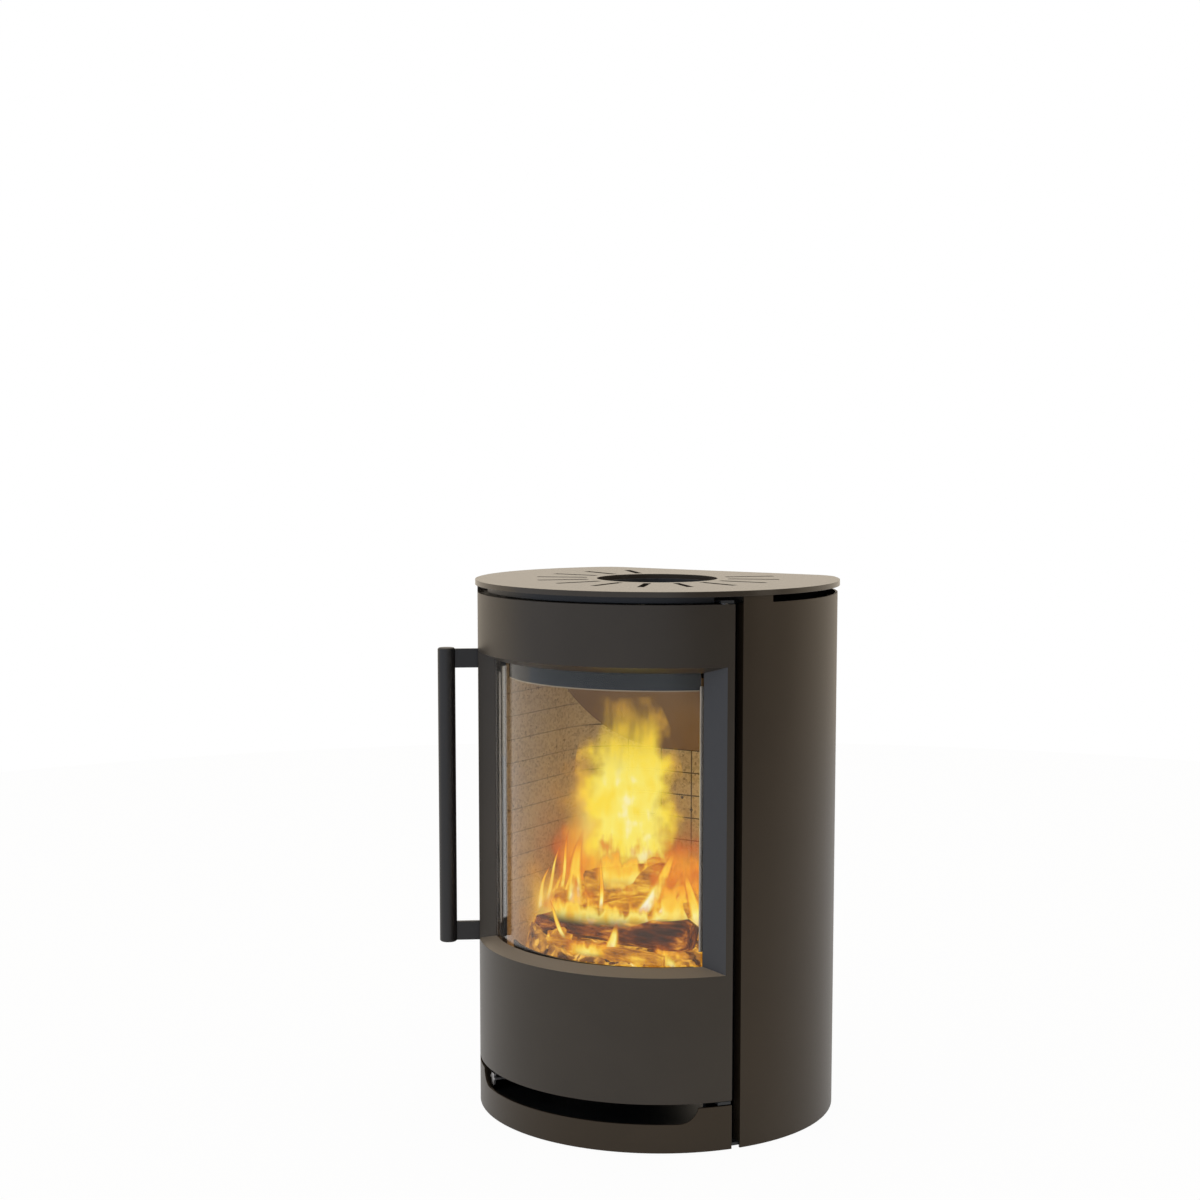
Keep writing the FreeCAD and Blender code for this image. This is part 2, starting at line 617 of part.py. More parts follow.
def lower_front_panel():
    wall = arc_wall(CASING, CASING_IN, "0", "lower_panel_height", "door_half_angle")
    lip = arc_wall(CASING_IN, f"{CASING_IN} - lip_depth", "0", "sheet_thickness",
                   "door_half_angle - stile_angle")
    low = "(lower_panel_height - scoop_depth)"
    middle = sector(f"{CASING} + overrun", low, "scoop_depth + overrun", "-scoop_angle", "scoop_angle")
    ends = []
    for side in ("-scoop_angle", "scoop_angle"):
        x, y = polar(side, f"{CASING_IN} - lip_depth")
        length = "lip_depth + sheet_thickness + overrun"
        ends.append(rod("scoop_corner", length, x, y, f"{low} + scoop_corner", f"{side} - 90"))
    keep(cut(fuse(wall, lip), middle, *ends), "lower_front_panel")


def base_plate():
    body = doc.addObject("PartDesign::Body", "BasePlate")
    plan = body_sketch(body, "XY_Plane", "sheet_thickness")
    round_plan(plan, f"{CASING_IN} - valve_gap", REAR_IN)
    feature(body, "Pad", plan, "base_thickness")
    keep(body, "base_plate")


def rear_panel():
    body = doc.addObject("PartDesign::Body", "RearPanel")
    plan = body_sketch(body, "XZ_Plane", f"-{REAR_OUT}")
    draw(plan, rectangle(f"-{REAR_HALF}", "0", REAR_HALF, PLATE_UNDER))
    feature(body, "Pad", plan, "sheet_thickness")
    inlet = body_sketch(body, "XZ_Plane", f"-{REAR_OUT}")
    circle(inlet, "0", "spigot_level", "spigot_radius")
    pocket(body, inlet, "sheet_thickness", True)
    for level in ("(stove_height - upper_vent_drop)", "lower_vent_level"):
        vent = body_sketch(body, "XZ_Plane", f"-{REAR_OUT}")
        draw(vent, rectangle("-vent_width / 2", level, "vent_width / 2", f"{level} + vent_height"))
        first = pocket(body, vent, "sheet_thickness", True)
        repeated(body, first, vent, "V_Axis", "vent_pitch", "vent_count")
    keep(body, "rear_panel")


def closing_strip():
    outer = f"({CASING} - strip_inset)"
    low = f"({FRAME_HIGH} + valve_gap)"
    strip = arc_wall(outer, f"{outer} - sheet_thickness", low, f"{PLATE_UNDER} - {low}", "strip_angle")
    keep(strip, "top_closing_strip")
    inside = f"({FRAME_IN} - curve_play)"
    right = ring(inside, f"{inside} - sheet_thickness", f"{PLATE_UNDER} - shield_drop", "shield_drop",
                 "shield_start", "shield_end")
    keep(bunch(right, mirrored(right)), "corner_shields")


def panel_screws():
    heads = []
    x = f"({REAR_HALF} - flange_depth / 2)"
    for level in ("screw_margin", f"{PLATE_UNDER} / 2", f"{PLATE_UNDER} - screw_margin"):
        for side in (x, f"-{x}"):
            heads.append(rod("screw_radius", "screw_head", side, REAR_OUT, level, "90"))
    keep(bunch(*heads), "panel_screws")


# Door
def door_frame():
    blank = arc_wall(CASING, DOOR_BACK, DOOR_BOTTOM, f"{DOOR_TOP} - {DOOR_BOTTOM}", "door_half_angle")
    spill = "(bevel_rise * overrun / door_depth)"
    inner = f"{DOOR_BACK} - overrun"
    outer = f"{CASING} + overrun"
    belt = turned(((inner, f"{SIGHT_LOW} + {spill}"), (outer, f"{WINDOW_LOW} - {spill}"),
                   (outer, f"{WINDOW_HIGH} + {spill}"), (inner, f"{SIGHT_HIGH} - {spill}")))
    sight_x, sight_y = polar(SIGHT_ANGLE, DOOR_BACK)
    face_x, face_y = polar(WINDOW_ANGLE, CASING)
    step = "(overrun / door_depth)"
    near_x = f"({sight_x} - {step} * ({face_x} - {sight_x}))"
    near_y = f"({sight_y} - {step} * ({face_y} - {sight_y}))"
    far_x = f"({face_x} + {step} * ({face_x} - {sight_x}))"
    far_y = f"({face_y} + {step} * ({face_y} - {sight_y}))"
    front = f"-({CASING} + overrun)"
    plan = ((f"-{near_x}", near_y), (near_x, near_y), (far_x, far_y),
            (far_x, front), (f"-{far_x}", front), (f"-{far_x}", far_y))
    window = common(belt, prism(plan, DOOR_BOTTOM, f"{DOOR_TOP} - {DOOR_BOTTOM}"))
    hollow_in = f"({DOOR_BACK} - overrun)"
    hollow_out = f"({CASING} - door_wall)"
    lower = arc_wall(hollow_out, hollow_in, f"{DOOR_BOTTOM} + panel_rim",
                     "lower_rail - 2 * panel_rim", SIGHT_ANGLE)
    boss = f"asin(({TONGUE_X} - panel_rim) / {DOOR_BACK}) / 1 deg"
    upper = ring(hollow_out, hollow_in, f"{WINDOW_HIGH} + panel_rim", "upper_rail - 2 * panel_rim",
                 f"-({boss})", f"{SIGHT_ANGLE} - bevel_angle")
    x, y = polar(HINGE_ANGLE, HINGE_R)
    sockets = [cylinder(BUSH_OUT, "bush_length + overrun", x, y, low)
               for low in (f"{DOOR_BOTTOM} - overrun", f"{DOOR_TOP} - bush_length")]
    keep(cut(blank, window, lower, upper, *sockets), "door_frame")


def door_glazing():
    low = f"({SIGHT_LOW} - glass_lap)"
    tall = f"({SIGHT_HIGH} - {SIGHT_LOW} + 2 * glass_lap)"
    glass = arc_wall(GLASS_OUT, GLASS_IN, low, tall, GLASS_ANGLE)
    keep(glass, "door_glass")
    seal = arc_wall(DOOR_SEAT, f"{GLASS_OUT} + curve_play", low, tall, GLASS_ANGLE)
    hole = arc_wall(f"{DOOR_BACK} + overrun", f"{GLASS_OUT} - overrun", f"{SIGHT_LOW} - seal_margin",
                    f"{SIGHT_HIGH} - {SIGHT_LOW} + 2 * seal_margin", f"{SIGHT_ANGLE} + glass_lap_angle / 4")
    keep(cut(seal, hole), "glass_seal")
    base = f"({SIGHT_LOW} + retainer_margin)"
    length = f"({SIGHT_HIGH} - {SIGHT_LOW} - 2 * retainer_margin)"
    face = f"({GLASS_IN} - curve_play)"
    inner = f"({face} - retainer_thickness)"
    leg_start = f"({GLASS_ANGLE} + frame_rebate)"
    leg_end = f"({leg_start} + retainer_leg_angle)"
    strip = ring(face, inner, base, length, f"{SIGHT_ANGLE} - retainer_lap_angle", leg_end)
    leg = ring(DOOR_SEAT, inner, base, length, leg_start, leg_end)
    right = fuse(strip, leg)
    keep(bunch(right, mirrored(right)), "glass_retainers")
    heads = []
    head = f"({inner} - {FRAME_OUT} - seal_gap)"
    seat = f"({inner} - {head} - pin_play)"
    for i in range(count("retainer_screws")):
        level = f"({base} + {length} * ({i} + 1) / (retainer_screws + 1))"
        for side in (GLASS_ANGLE, f"(-{GLASS_ANGLE})"):
            x, y = polar(side, seat)
            heads.append(rod("screw_radius / 2", head, x, y, level, f"{side} - 90"))
    keep(bunch(*heads), "retainer_screws")


def door_rope():
    low = f"({DOOR_BOTTOM} + rope_inset)"
    high = f"({TOP_UPPER} + rope_width + rope_inset)"
    outer = arc_wall(DOOR_SEAT, f"{DOOR_BACK} - rope_depth", low, f"{high} - {low}", ROPE_OUTER)
    inner = arc_wall(f"{DOOR_BACK} + overrun", f"{DOOR_BACK} - rope_depth - overrun", f"{low} + rope_width",
                     f"{high} - {low} - 2 * rope_width", f"{ROPE_OUTER} - rope_angle")
    keep(cut(outer, inner), "door_rope_seal")


def door_shield():
    low = f"({DOOR_BOTTOM} + panel_rim)"
    high = f"({SIGHT_LOW} - glass_lap - rope_inset)"
    shield = arc_wall(DOOR_SEAT, f"{DOOR_BACK} - shield_thickness", low, f"{high} - {low}", GLASS_ANGLE)
    keep(shield, "door_heat_shield")


def handle():
    edge = "(-door_half_angle)"
    reach = f"({CASING} + bar_reach)"
    low = f"({WINDOW_LOW} - 2 * bar_overlap)"
    high = f"({WINDOW_HIGH} + bar_overlap)"
    slim = "bar_radius - bar_chamfer"
    x, y = polar(edge, reach, "-bracket_thickness / 2")
    bar = turned((("0", low), (slim, low), ("bar_radius", f"{low} + bar_chamfer"),
                  ("bar_radius", f"{high} - bar_chamfer"), (slim, high), ("0", high)))
    bar = place(bunch(bar), x, y)
    keep(bunch(bar), "handle_bar")
    root = f"({CASING} - bracket_depth)"
    arms = []
    heads = []
    for level in (f"({low} + bracket_inset)", f"({high} - bracket_inset - bracket_height)"):
        arm = radial_box(edge, root, f"{reach} - {root}", "-bracket_thickness", "bracket_thickness",
                         level, "bracket_height")
        arms.append(cut(arm, cylinder("bar_radius", f"{high} - {low}", x, y, low)))
        for rise in ("bracket_height / 4", "bracket_height * 3 / 4"):
            head_x, head_y = polar(edge, f"{CASING} - bracket_depth / 2", "-bracket_thickness")
            heads.append(rod("screw_radius / 2", "screw_head", head_x, head_y,
                             f"{level} + {rise}", f"{edge} - 180"))
    keep(bunch(*arms), "handle_brackets")
    keep(bunch(*heads), "handle_screws")


def hinge():
    x, y = polar(HINGE_ANGLE, HINGE_R)
    bush_levels = (DOOR_BOTTOM, f"({DOOR_TOP} - bush_length)")
    bushes = [cut(cylinder(BUSH_OUT, "bush_length", x, y, low),
                  cylinder(PIVOT_BORE, "bush_length + 2 * overrun", x, y, f"{low} - overrun"))
              for low in bush_levels]
    keep(bunch(*bushes), "hinge_bushes")
    plate_levels = (f"({FRAME_LOW} - hinge_plate)", FRAME_HIGH)
    for label, low in zip(("lower_hinge_bracket", "upper_hinge_bracket"), plate_levels):
        plate = radial_box(HINGE_ANGLE, FRAME_IN, f"{HINGE_R} - {FRAME_IN} + hinge_reach",
                           "-hinge_width / 2", "hinge_width", low, "hinge_plate")
        hole = cylinder("pin_radius", "hinge_plate + 2 * overrun", x, y, f"{low} - overrun")
        keep(cut(plate, hole), label)
    long = "(hinge_plate + hinge_clearance + pin_length)"
    pins = [cylinder("pin_radius", long, x, y, plate_levels[0]),
            cylinder("pin_radius", long, x, y, f"{DOOR_TOP} - pin_length")]
    keep(bunch(*pins), "hinge_pins")


# Catch
def catch():
    left = f"(-{TONGUE_X} - tongue_thickness / 2)"
    tongue = box("tongue_thickness", DOOR_BACK, "tongue_height", left,
                 f"tongue_length - {TONGUE_ROOT} - {DOOR_BACK}", TONGUE_LOW)
    keep(within(tongue, DOOR_BACK, "0", "stove_height"), "catch_tongue")
    spots = ((f"(-{TONGUE_X} - {ROLLER_STEP})", "left"),
             (f"(-{TONGUE_X} + {ROLLER_STEP})", "right"))
    plate_low = f"({TONGUE_LOW} - catch_plate)"
    pins = []
    for x, side in spots:
        roller = cut(cylinder("roller_radius", "tongue_height - 2 * valve_gap", x, ROLLER_Y,
                              f"{TONGUE_LOW} + valve_gap"),
                     cylinder("roller_bore + pin_play", "tongue_height", x, ROLLER_Y, TONGUE_LOW))
        keep(roller, f"catch_roller_{side}")
        pins.append(cylinder("roller_bore", "tongue_height + 2 * catch_plate", x, ROLLER_Y, plate_low))
    keep(bunch(*pins), "roller_pins")
    half = f"({ROLLER_STEP} + roller_radius + catch_margin)"
    start = f"({ROLLER_Y} - roller_radius)"
    depth = "(2 * roller_radius + catch_margin)"
    sheets = [box(f"2 * {half}", depth, "catch_plate", f"-{TONGUE_X} - {half}", start, low)
              for low in (plate_low, TONGUE_TOP)]
    post = box(f"2 * {half}", "catch_plate", f"{TONGUE_TOP} + catch_plate - {TOP_UPPER}",
               f"-{TONGUE_X} - {half}", f"{start} + {depth} - catch_plate", TOP_UPPER)
    holes = [cylinder("roller_bore", "tongue_height + 4 * catch_plate", x, ROLLER_Y,
                      f"{plate_low} - catch_plate") for x, side in spots]
    keep(cut(fuse(post, *sheets), *holes), "catch_bracket")


# Firebox
def front_frame():
    wall = arc_wall(FRAME_OUT, FRAME_IN, FRAME_LOW, f"{FRAME_HIGH} - {FRAME_LOW}", "front_frame_angle")
    through = (f"{FRAME_OUT} + overrun", f"{FRAME_IN} - overrun")
    low = f"({HEARTH_TOP} + fire_sill)"
    fire = arc_wall(*through, low, f"{FIREBOX_TOP} - fire_head - {low}",
                    f"{GLASS_ANGLE} + frame_rebate")
    ash_low = f"({ASH_FLOOR_TOP} + ash_opening_margin)"
    ash = arc_wall(*through, ash_low, f"floor_level - ash_opening_margin - {ash_low}",
                   "ash_opening_angle")
    slot = box("tongue_thickness + 2 * catch_slot", FRAME_OUT, "tongue_height + 2 * catch_slot",
               f"-{TONGUE_X} - tongue_thickness / 2 - catch_slot", f"-{FRAME_OUT}",
               f"{TONGUE_LOW} - catch_slot")
    keep(cut(wall, fire, ash, slot), "front_frame")


def firebox_shell():
    tall = f"({FIREBOX_TOP} - ash_floor_level)"
    outer = hearth_block(SHELL_WALL, "ash_floor_level", tall)
    inner = hearth_block(SHELL_GAP, "ash_floor_level - overrun", f"{tall} + 2 * overrun")
    tube = within(cut(outer, inner), FRAME_IN, "ash_floor_level", tall)
    y = f"{SHELL_BACK} - shell_thickness - overrun"
    ports = [rod("air_hole_radius", "shell_thickness + 2 * overrun", x, y, z, "90")
             for x, z in air_holes()]
    keep(cut(tube, *ports), "firebox_shell")


def air_holes():
    """Two staggered rows of small holes across the back."""
    spots = []
    for row in range(2):
        for i in range(count("air_hole_count")):
            x = f"air_hole_pitch * ({i} - (air_hole_count - 1) / 2 + {row} / 2)"
            spots.append((x, f"stove_height - air_hole_drop + air_hole_rise * {row}"))
    return spots


def firebox_plates():
    top = within(hearth_block(SHELL_WALL, FIREBOX_TOP, "floor_thickness"), FRAME_IN,
                 FIREBOX_TOP, "floor_thickness")
    flue = cylinder("collar_bore - collar_stop", "floor_thickness + 2 * overrun", "0", "0",
                    f"{FIREBOX_TOP} - overrun")
    keep(cut(top, flue), "firebox_top")
    floor = within(hearth_block(SHELL_GAP, "floor_level", "floor_thickness"), FRAME_IN,
                   "floor_level", "floor_thickness")
    hole = centred_box("grate_width / 2 - grate_ledge", "grate_depth - 2 * grate_ledge",
                       "floor_thickness + 2 * overrun",
                       "-grate_offset - grate_depth / 2 + grate_ledge", "floor_level - overrun")
    keep(cut(floor, hole), "firebox_floor")
    ash = within(hearth_block(SHELL_GAP, "ash_floor_level", "shell_thickness"), FRAME_IN,
                 "ash_floor_level", "shell_thickness")
    draught = cylinder("port_outer", "shell_thickness + 2 * overrun", "0", "0", "ash_floor_level - overrun")
    keep(cut(ash, draught), "ash_box_floor")


def flue_collar():
    inner = "collar_bore"
    outer = "(collar_bore + collar_wall)"
    foot = "(collar_bore + collar_wall + collar_flange)"
    top = "(stove_height - collar_drop)"
    step = f"({TOP_UPPER} + collar_wall)"
    collar = turned(((inner, TOP_UPPER), (foot, TOP_UPPER), (foot, step),
                     (outer, step), (outer, top), (inner, top)))
    keep(collar, "flue_collar")


def linings():
    tall = f"({FIREBOX_TOP} - {HEARTH_TOP} - lining_gap)"
    board = cut(hearth_block("lining_thickness", HEARTH_TOP, tall),
                hearth_block("0", f"{HEARTH_TOP} - overrun", f"{tall} + 2 * overrun"))
    board = within(board, f"{FRAME_IN} - lining_gap", HEARTH_TOP, tall)
    pitch = f"({tall} / (groove_count + 1))"
    courses = [hearth_block("groove_depth", f"{HEARTH_TOP} + {pitch} * {i + 1}", "groove_width")
               for i in range(count("groove_count"))]
    grooved = cut(board, *courses)
    middle = centred_box("firebox_flat", LINING_BACK, tall, "0", HEARTH_TOP)
    back = common(grooved, middle)
    joints = [box("groove_width", "groove_depth + overrun", tall,
                  f"joint_pitch * ({i} - (joint_count - 1) / 2) - groove_width / 2",
                  f"{FIREBOX_BACK} - overrun", HEARTH_TOP)
              for i in range(count("joint_count"))]
    ports = [rod("air_hole_radius", "lining_thickness + 2 * overrun", x, f"{FIREBOX_BACK} - overrun", z, "90")
             for x, z in air_holes()]
    keep(cut(back, *joints, *ports), "back_lining")
    half = box(FRAME_OUT, f"2 * {FRAME_OUT}", tall, "firebox_flat", f"-{FRAME_OUT}", HEARTH_TOP)
    right = common(grooved, half)
    keep_pair(right, "right_lining", "left_lining")


def hearth():
    board = within(hearth_block("lining_thickness", FLOOR_TOP, "hearth_thickness"),
                   f"{FRAME_IN} - lining_gap", FLOOR_TOP, "hearth_thickness")
    hole = centred_box("grate_width / 2 + grate_play", "grate_depth + 2 * grate_play",
                       "hearth_thickness + 2 * overrun",
                       "-grate_offset - grate_depth / 2 - grate_play", f"{FLOOR_TOP} - overrun")
    half = box(FRAME_OUT, f"2 * {FRAME_OUT}", "hearth_thickness", "0", f"-{FRAME_OUT}", FLOOR_TOP)
    right = common(cut(board, hole), half)
    keep_pair(right, "hearth_board_right", "hearth_board_left")


def grate():
    body = doc.addObject("PartDesign::Body", "Grate")
    plan = body_sketch(body, "XY_Plane", FLOOR_TOP)
    front = "(-grate_offset - grate_depth / 2)"
    draw(plan, rectangle("-grate_width / 2", front, "grate_width / 2", f"{front} + grate_depth"))
    feature(body, "Pad", plan, "grate_thickness")
    slot = body_sketch(body, "XY_Plane", f"{FLOOR_TOP} + grate_thickness")
    left = "(-grate_slot_pitch * (grate_slot_count - 1) / 2 - grate_slot / 2)"
    draw(slot, rectangle(left, f"{front} + grate_rim",
                         f"{left} + grate_slot", f"{front} + grate_depth - grate_rim"))
    first = pocket(body, slot, "grate_thickness")
    repeated(body, first, slot, "H_Axis", "grate_slot_pitch", "grate_slot_count")
    keep(body, "grate")


def smoke_baffle():
    """A bent board: level behind the deflector, then falling to the back lining."""
    level = BAFFLE_LEVEL
    knee = f"({FIREBOX_BACK} - baffle_fall / tan(baffle_slope))"
    reach = f"({LINING_HALF} + overrun)"
    lip = centred_box(reach, f"{FRAME_OUT} + {knee}", "baffle_thickness", f"-{FRAME_OUT}", level)
    slope = make("Part::Box", Length=f"2 * {reach}", Width=f"2 * {FRAME_OUT}", Height="baffle_thickness")
    back = f"({knee} - {FRAME_OUT} * cos(baffle_slope))"
    high = f"({level} + {FRAME_OUT} * sin(baffle_slope))"
    place(slope, f"-{reach}", back, high, roll="-baffle_slope")
    room = centred_box(reach, f"4 * {FRAME_OUT}", f"{level} + baffle_thickness", f"-2 * {FRAME_OUT}", "0")
    board = common(fuse(lip, common(slope, room)), hearth_block("(-lining_gap)", "0", "stove_height"))
    keep(within(board, BAFFLE_FRONT, "0", "stove_height"), "smoke_baffle")


def fire_fittings():
    deflector = arc_wall(DEFLECTOR_OUT, f"{DEFLECTOR_OUT} - sheet_thickness", BAFFLE_LEVEL,
                         f"{FIREBOX_TOP} - {BAFFLE_LEVEL}", "deflector_angle")
    keep(deflector, "air_wash_deflector")
    outer = f"({FRAME_IN} - retainer_setback)"
    bar = arc_wall(outer, f"{outer} - sheet_thickness", HEARTH_TOP, "retainer_height",
                   "log_retainer_angle")
    keep(bar, "log_retainer")
    duct = centred_box("duct_half_width", "duct_depth", DUCT_HEIGHT, SHELL_BACK, ASH_FLOOR_TOP)
    room = centred_box("duct_half_width - duct_sheet", "duct_depth - duct_sheet + overrun",
                       f"{DUCT_HEIGHT} - 2 * duct_sheet",
                       f"{SHELL_BACK} - overrun", f"{ASH_FLOOR_TOP} + duct_sheet")
    keep(cut(duct, room), "rear_air_duct")
    stays = [rod("stay_radius", f"{REAR_IN} - {SHELL_BACK}", x, SHELL_BACK,
                 f"{HOOK_TOP} - rail_drop / 2", "90") for x in ("stay_offset", "-stay_offset")]
    keep(bunch(*stays), "rear_stays")
    tall = f"(ash_floor_level - {BASE_TOP})"
    web = box("base_thickness", "support_length", tall, "support_offset", "-support_length / 2", BASE_TOP)
    feet = [box("support_foot", "support_length", "base_thickness", "support_offset",
                "-support_length / 2", z) for z in (BASE_TOP, "ash_floor_level - base_thickness")]
    right = fuse(web, *feet)
    keep(bunch(right, mirrored(right)), "firebox_supports")


def ash_pan():
    low = f"({ASH_FLOOR_TOP} + pan_runner)"
    depth = f"({PAN_FRONT} + pan_back)"
    tray = centred_box(PAN_HALF, depth, "pan_height", f"-{PAN_FRONT}", low)
    room = centred_box(f"{PAN_HALF} - pan_sheet", f"{depth} - 2 * pan_sheet", "pan_height",
                       f"pan_sheet - {PAN_FRONT}", f"{low} + pan_sheet")
    runner_x = f"({PAN_HALF} / 2 + port_outer / 4)"
    runners = [box("base_thickness", depth, "pan_runner + pan_sheet", x, f"-{PAN_FRONT}", ASH_FLOOR_TOP)
               for x in (runner_x, f"-{runner_x} - base_thickness")]
    grip = centred_box("pan_grip / 2", "pan_grip_reach", "pan_sheet", f"-{PAN_FRONT} - pan_grip_reach",
                       f"{low} + pan_height - pan_sheet")
    lip = centred_box("pan_grip / 2", "pan_sheet", "pan_grip_reach", f"-{PAN_FRONT} - pan_grip_reach",
                      f"{low} + pan_height - pan_grip_reach")
    keep(fuse(cut(tray, room), *runners, grip, lip), "ash_pan")


# Air control
def air_control():
    ports = [(f"port_angle / 2 + {turn}", f"{turn} - port_angle / 2") for turn in ("90", "270")]

    def disc(radius, z, bore):
        plate = cylinder(radius, "valve_sheet", "0", "0", z)
        holes = [ring("port_outer", "port_inner", f"{z} - overrun", "valve_sheet + 2 * overrun", start, end)
                 for end, start in ports]
        pivot = cylinder(bore, "valve_sheet + 2 * overrun", "0", "0", f"{z} - overrun")
        return cut(plate, pivot, *holes)

    keep(disc("air_box_radius", f"({SEAT_TOP} - valve_sheet)", "pin_radius"), "air_valve_seat")
    keep(disc("valve_radius", f"({DISC_TOP} - valve_sheet)", PIVOT_BORE), "air_valve_disc")
    can = cut(cylinder("air_box_radius", "air_box_height", "0", "0", SEAT_TOP),
              cylinder("air_box_radius - duct_sheet", "air_box_height + 2 * overrun", "0", "0",
                       f"{SEAT_TOP} - overrun"))
    keep(can, "air_box")
    low = f"({LEVER_TOP} - valve_sheet)"
    tip = f"({CASING_IN} - lever_setback)"
    arm = radial_box("lever_start_angle", "0", tip, "-lever_width / 2", "lever_width",
                     low, "valve_sheet")
    hub = cylinder("port_inner", "valve_sheet", "0", "0", low)
    tab = radial_box("lever_start_angle", f"{tip} - valve_sheet", "valve_sheet", "-lever_tab_width / 2",
                     "lever_tab_width", f"{low} - lever_tab_height / 2", "lever_tab_height")
    bore = cylinder(PIVOT_BORE, "valve_sheet + 2 * overrun", "0", "0", f"{low} - overrun")
    keep(cut(fuse(arm, hub, tab), bore), "air_lever")
    shank = cylinder("pin_radius", f"{SEAT_TOP} - {low} + valve_gap + pivot_head_height", "0", "0",
                     f"{low} - valve_gap - pivot_head_height")
    head = cylinder("pivot_head", "pivot_head_height", "0", "0", f"{low} - valve_gap - pivot_head_height")
    keep(fuse(shank, head), "valve_pivot")
    inside = f"({REAR_IN} - spigot_inside)"
    length = "(spigot_inside + sheet_thickness + spigot_outside)"
    tube = rod("spigot_radius", length, "0", inside, "spigot_level", "90")
    seat = f"{REAR_IN} - sheet_thickness"
    flange = rod("spigot_radius + spigot_flange", "sheet_thickness", "0", seat, "spigot_level", "90")
    bore = rod("spigot_radius - spigot_wall", f"{length} + 2 * overrun", "0", f"{inside} - overrun",
               "spigot_level", "90")
    trim = centred_box("spigot_radius + spigot_flange", "sheet_thickness", BASE_TOP, seat, "0")
    keep(cut(fuse(tube, flange), bore, trim), "air_inlet_spigot")


# Wall mount
def wall_mount():
    low = f"({MOUNT} - wall_drop)"
    step = f"({MOUNT} + wall_rise)"
    back = centred_box("wall_half_width", "wall_sheet", f"{step} - {low}", f"{WALL} - wall_sheet", low)
    ledge = f"({step} - wall_sheet)"
    shelf = centred_box("wall_half_width", f"{WALL} - {HOOK_FRONT}", "wall_sheet", HOOK_FRONT, ledge)
    hook = centred_box("wall_half_width", "wall_sheet", "wall_hook + wall_sheet", HOOK_FRONT, ledge)
    bolts = [rod("bolt_radius", "wall_sheet + 2 * overrun", x, f"{WALL} - wall_sheet - overrun", z, "90")
             for x in ("bolt_spacing / 2", "-bolt_spacing / 2")
             for z in (f"{MOUNT} + bolt_rise / 2", f"{MOUNT} - bolt_rise / 2")]
    keep(cut(fuse(back, shelf, hook), *bolts), "wall_bracket")
    behind = f"({HOOK_FRONT} + wall_sheet + hook_play)"
    leaf = centred_box("rail_half_width", "wall_sheet", "rail_drop + wall_sheet", REAR_OUT,
                       f"{HOOK_TOP} - rail_drop")
    ledge = centred_box("rail_half_width", f"{behind} + wall_sheet - {REAR_OUT}", "wall_sheet",
                        REAR_OUT, HOOK_TOP)
    claw = centred_box("rail_half_width", "wall_sheet", "wall_hook - hook_play + wall_sheet", behind,
                       f"{HOOK_TOP} - wall_hook + hook_play")
    keep(fuse(leaf, ledge, claw), "hanger_rail")
    heads = [rod("screw_radius", "screw_head", f"rail_screw_spacing * {i}", f"{REAR_OUT} + wall_sheet",
                 f"{HOOK_TOP} - rail_drop / 2", "90") for i in ("-1.5", "-0.5", "0.5", "1.5")]
    keep(bunch(*heads), "hanger_screws")
    spacers = []
    for x in (SPACER_X, f"-{SPACER_X}"):
        stud = rod("spacer_radius", f"{WALL} - {REAR_OUT}", x, REAR_OUT, "spacer_level", "90")
        pad = rod("spacer_pad", "spacer_pad_thickness", x, f"{WALL} - spacer_pad_thickness",
                  "spacer_level", "90")
        spacers.append(fuse(stud, pad))
    keep(bunch(*spacers), "wall_spacers")


for build in (top_plate, side_panels, lower_front_panel, base_plate, rear_panel, closing_strip,
              panel_screws, door_frame, door_glazing, door_rope, door_shield, handle, hinge, catch,
              front_frame, firebox_shell, firebox_plates, flue_collar, linings, hearth, grate,
              smoke_baffle, fire_fittings, ash_pan, air_control, wall_mount):
    build()
doc.recompute()

failed = [obj for obj in doc.Objects if "Invalid" in obj.State or "Error" in obj.State]
if failed:
    raise RuntimeError("; ".join(f"{obj.Label}: {obj.getStatusString()}" for obj in failed))
for part in SUBPARTS:
    if part.Shape.isNull() or not part.Shape.isValid() or not part.Shape.Solids:
        raise RuntimeError(f"{part.Label} has no valid solid")

os.makedirs("parts", exist_ok=True)
for part in SUBPARTS:
    part.Shape.exportStep(f"parts/{part.Label}.step")
    print(part.Label, len(part.Shape.Solids), round(part.Shape.Volume))
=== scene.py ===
import json
import math
import random

import bpy
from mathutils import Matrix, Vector, noise


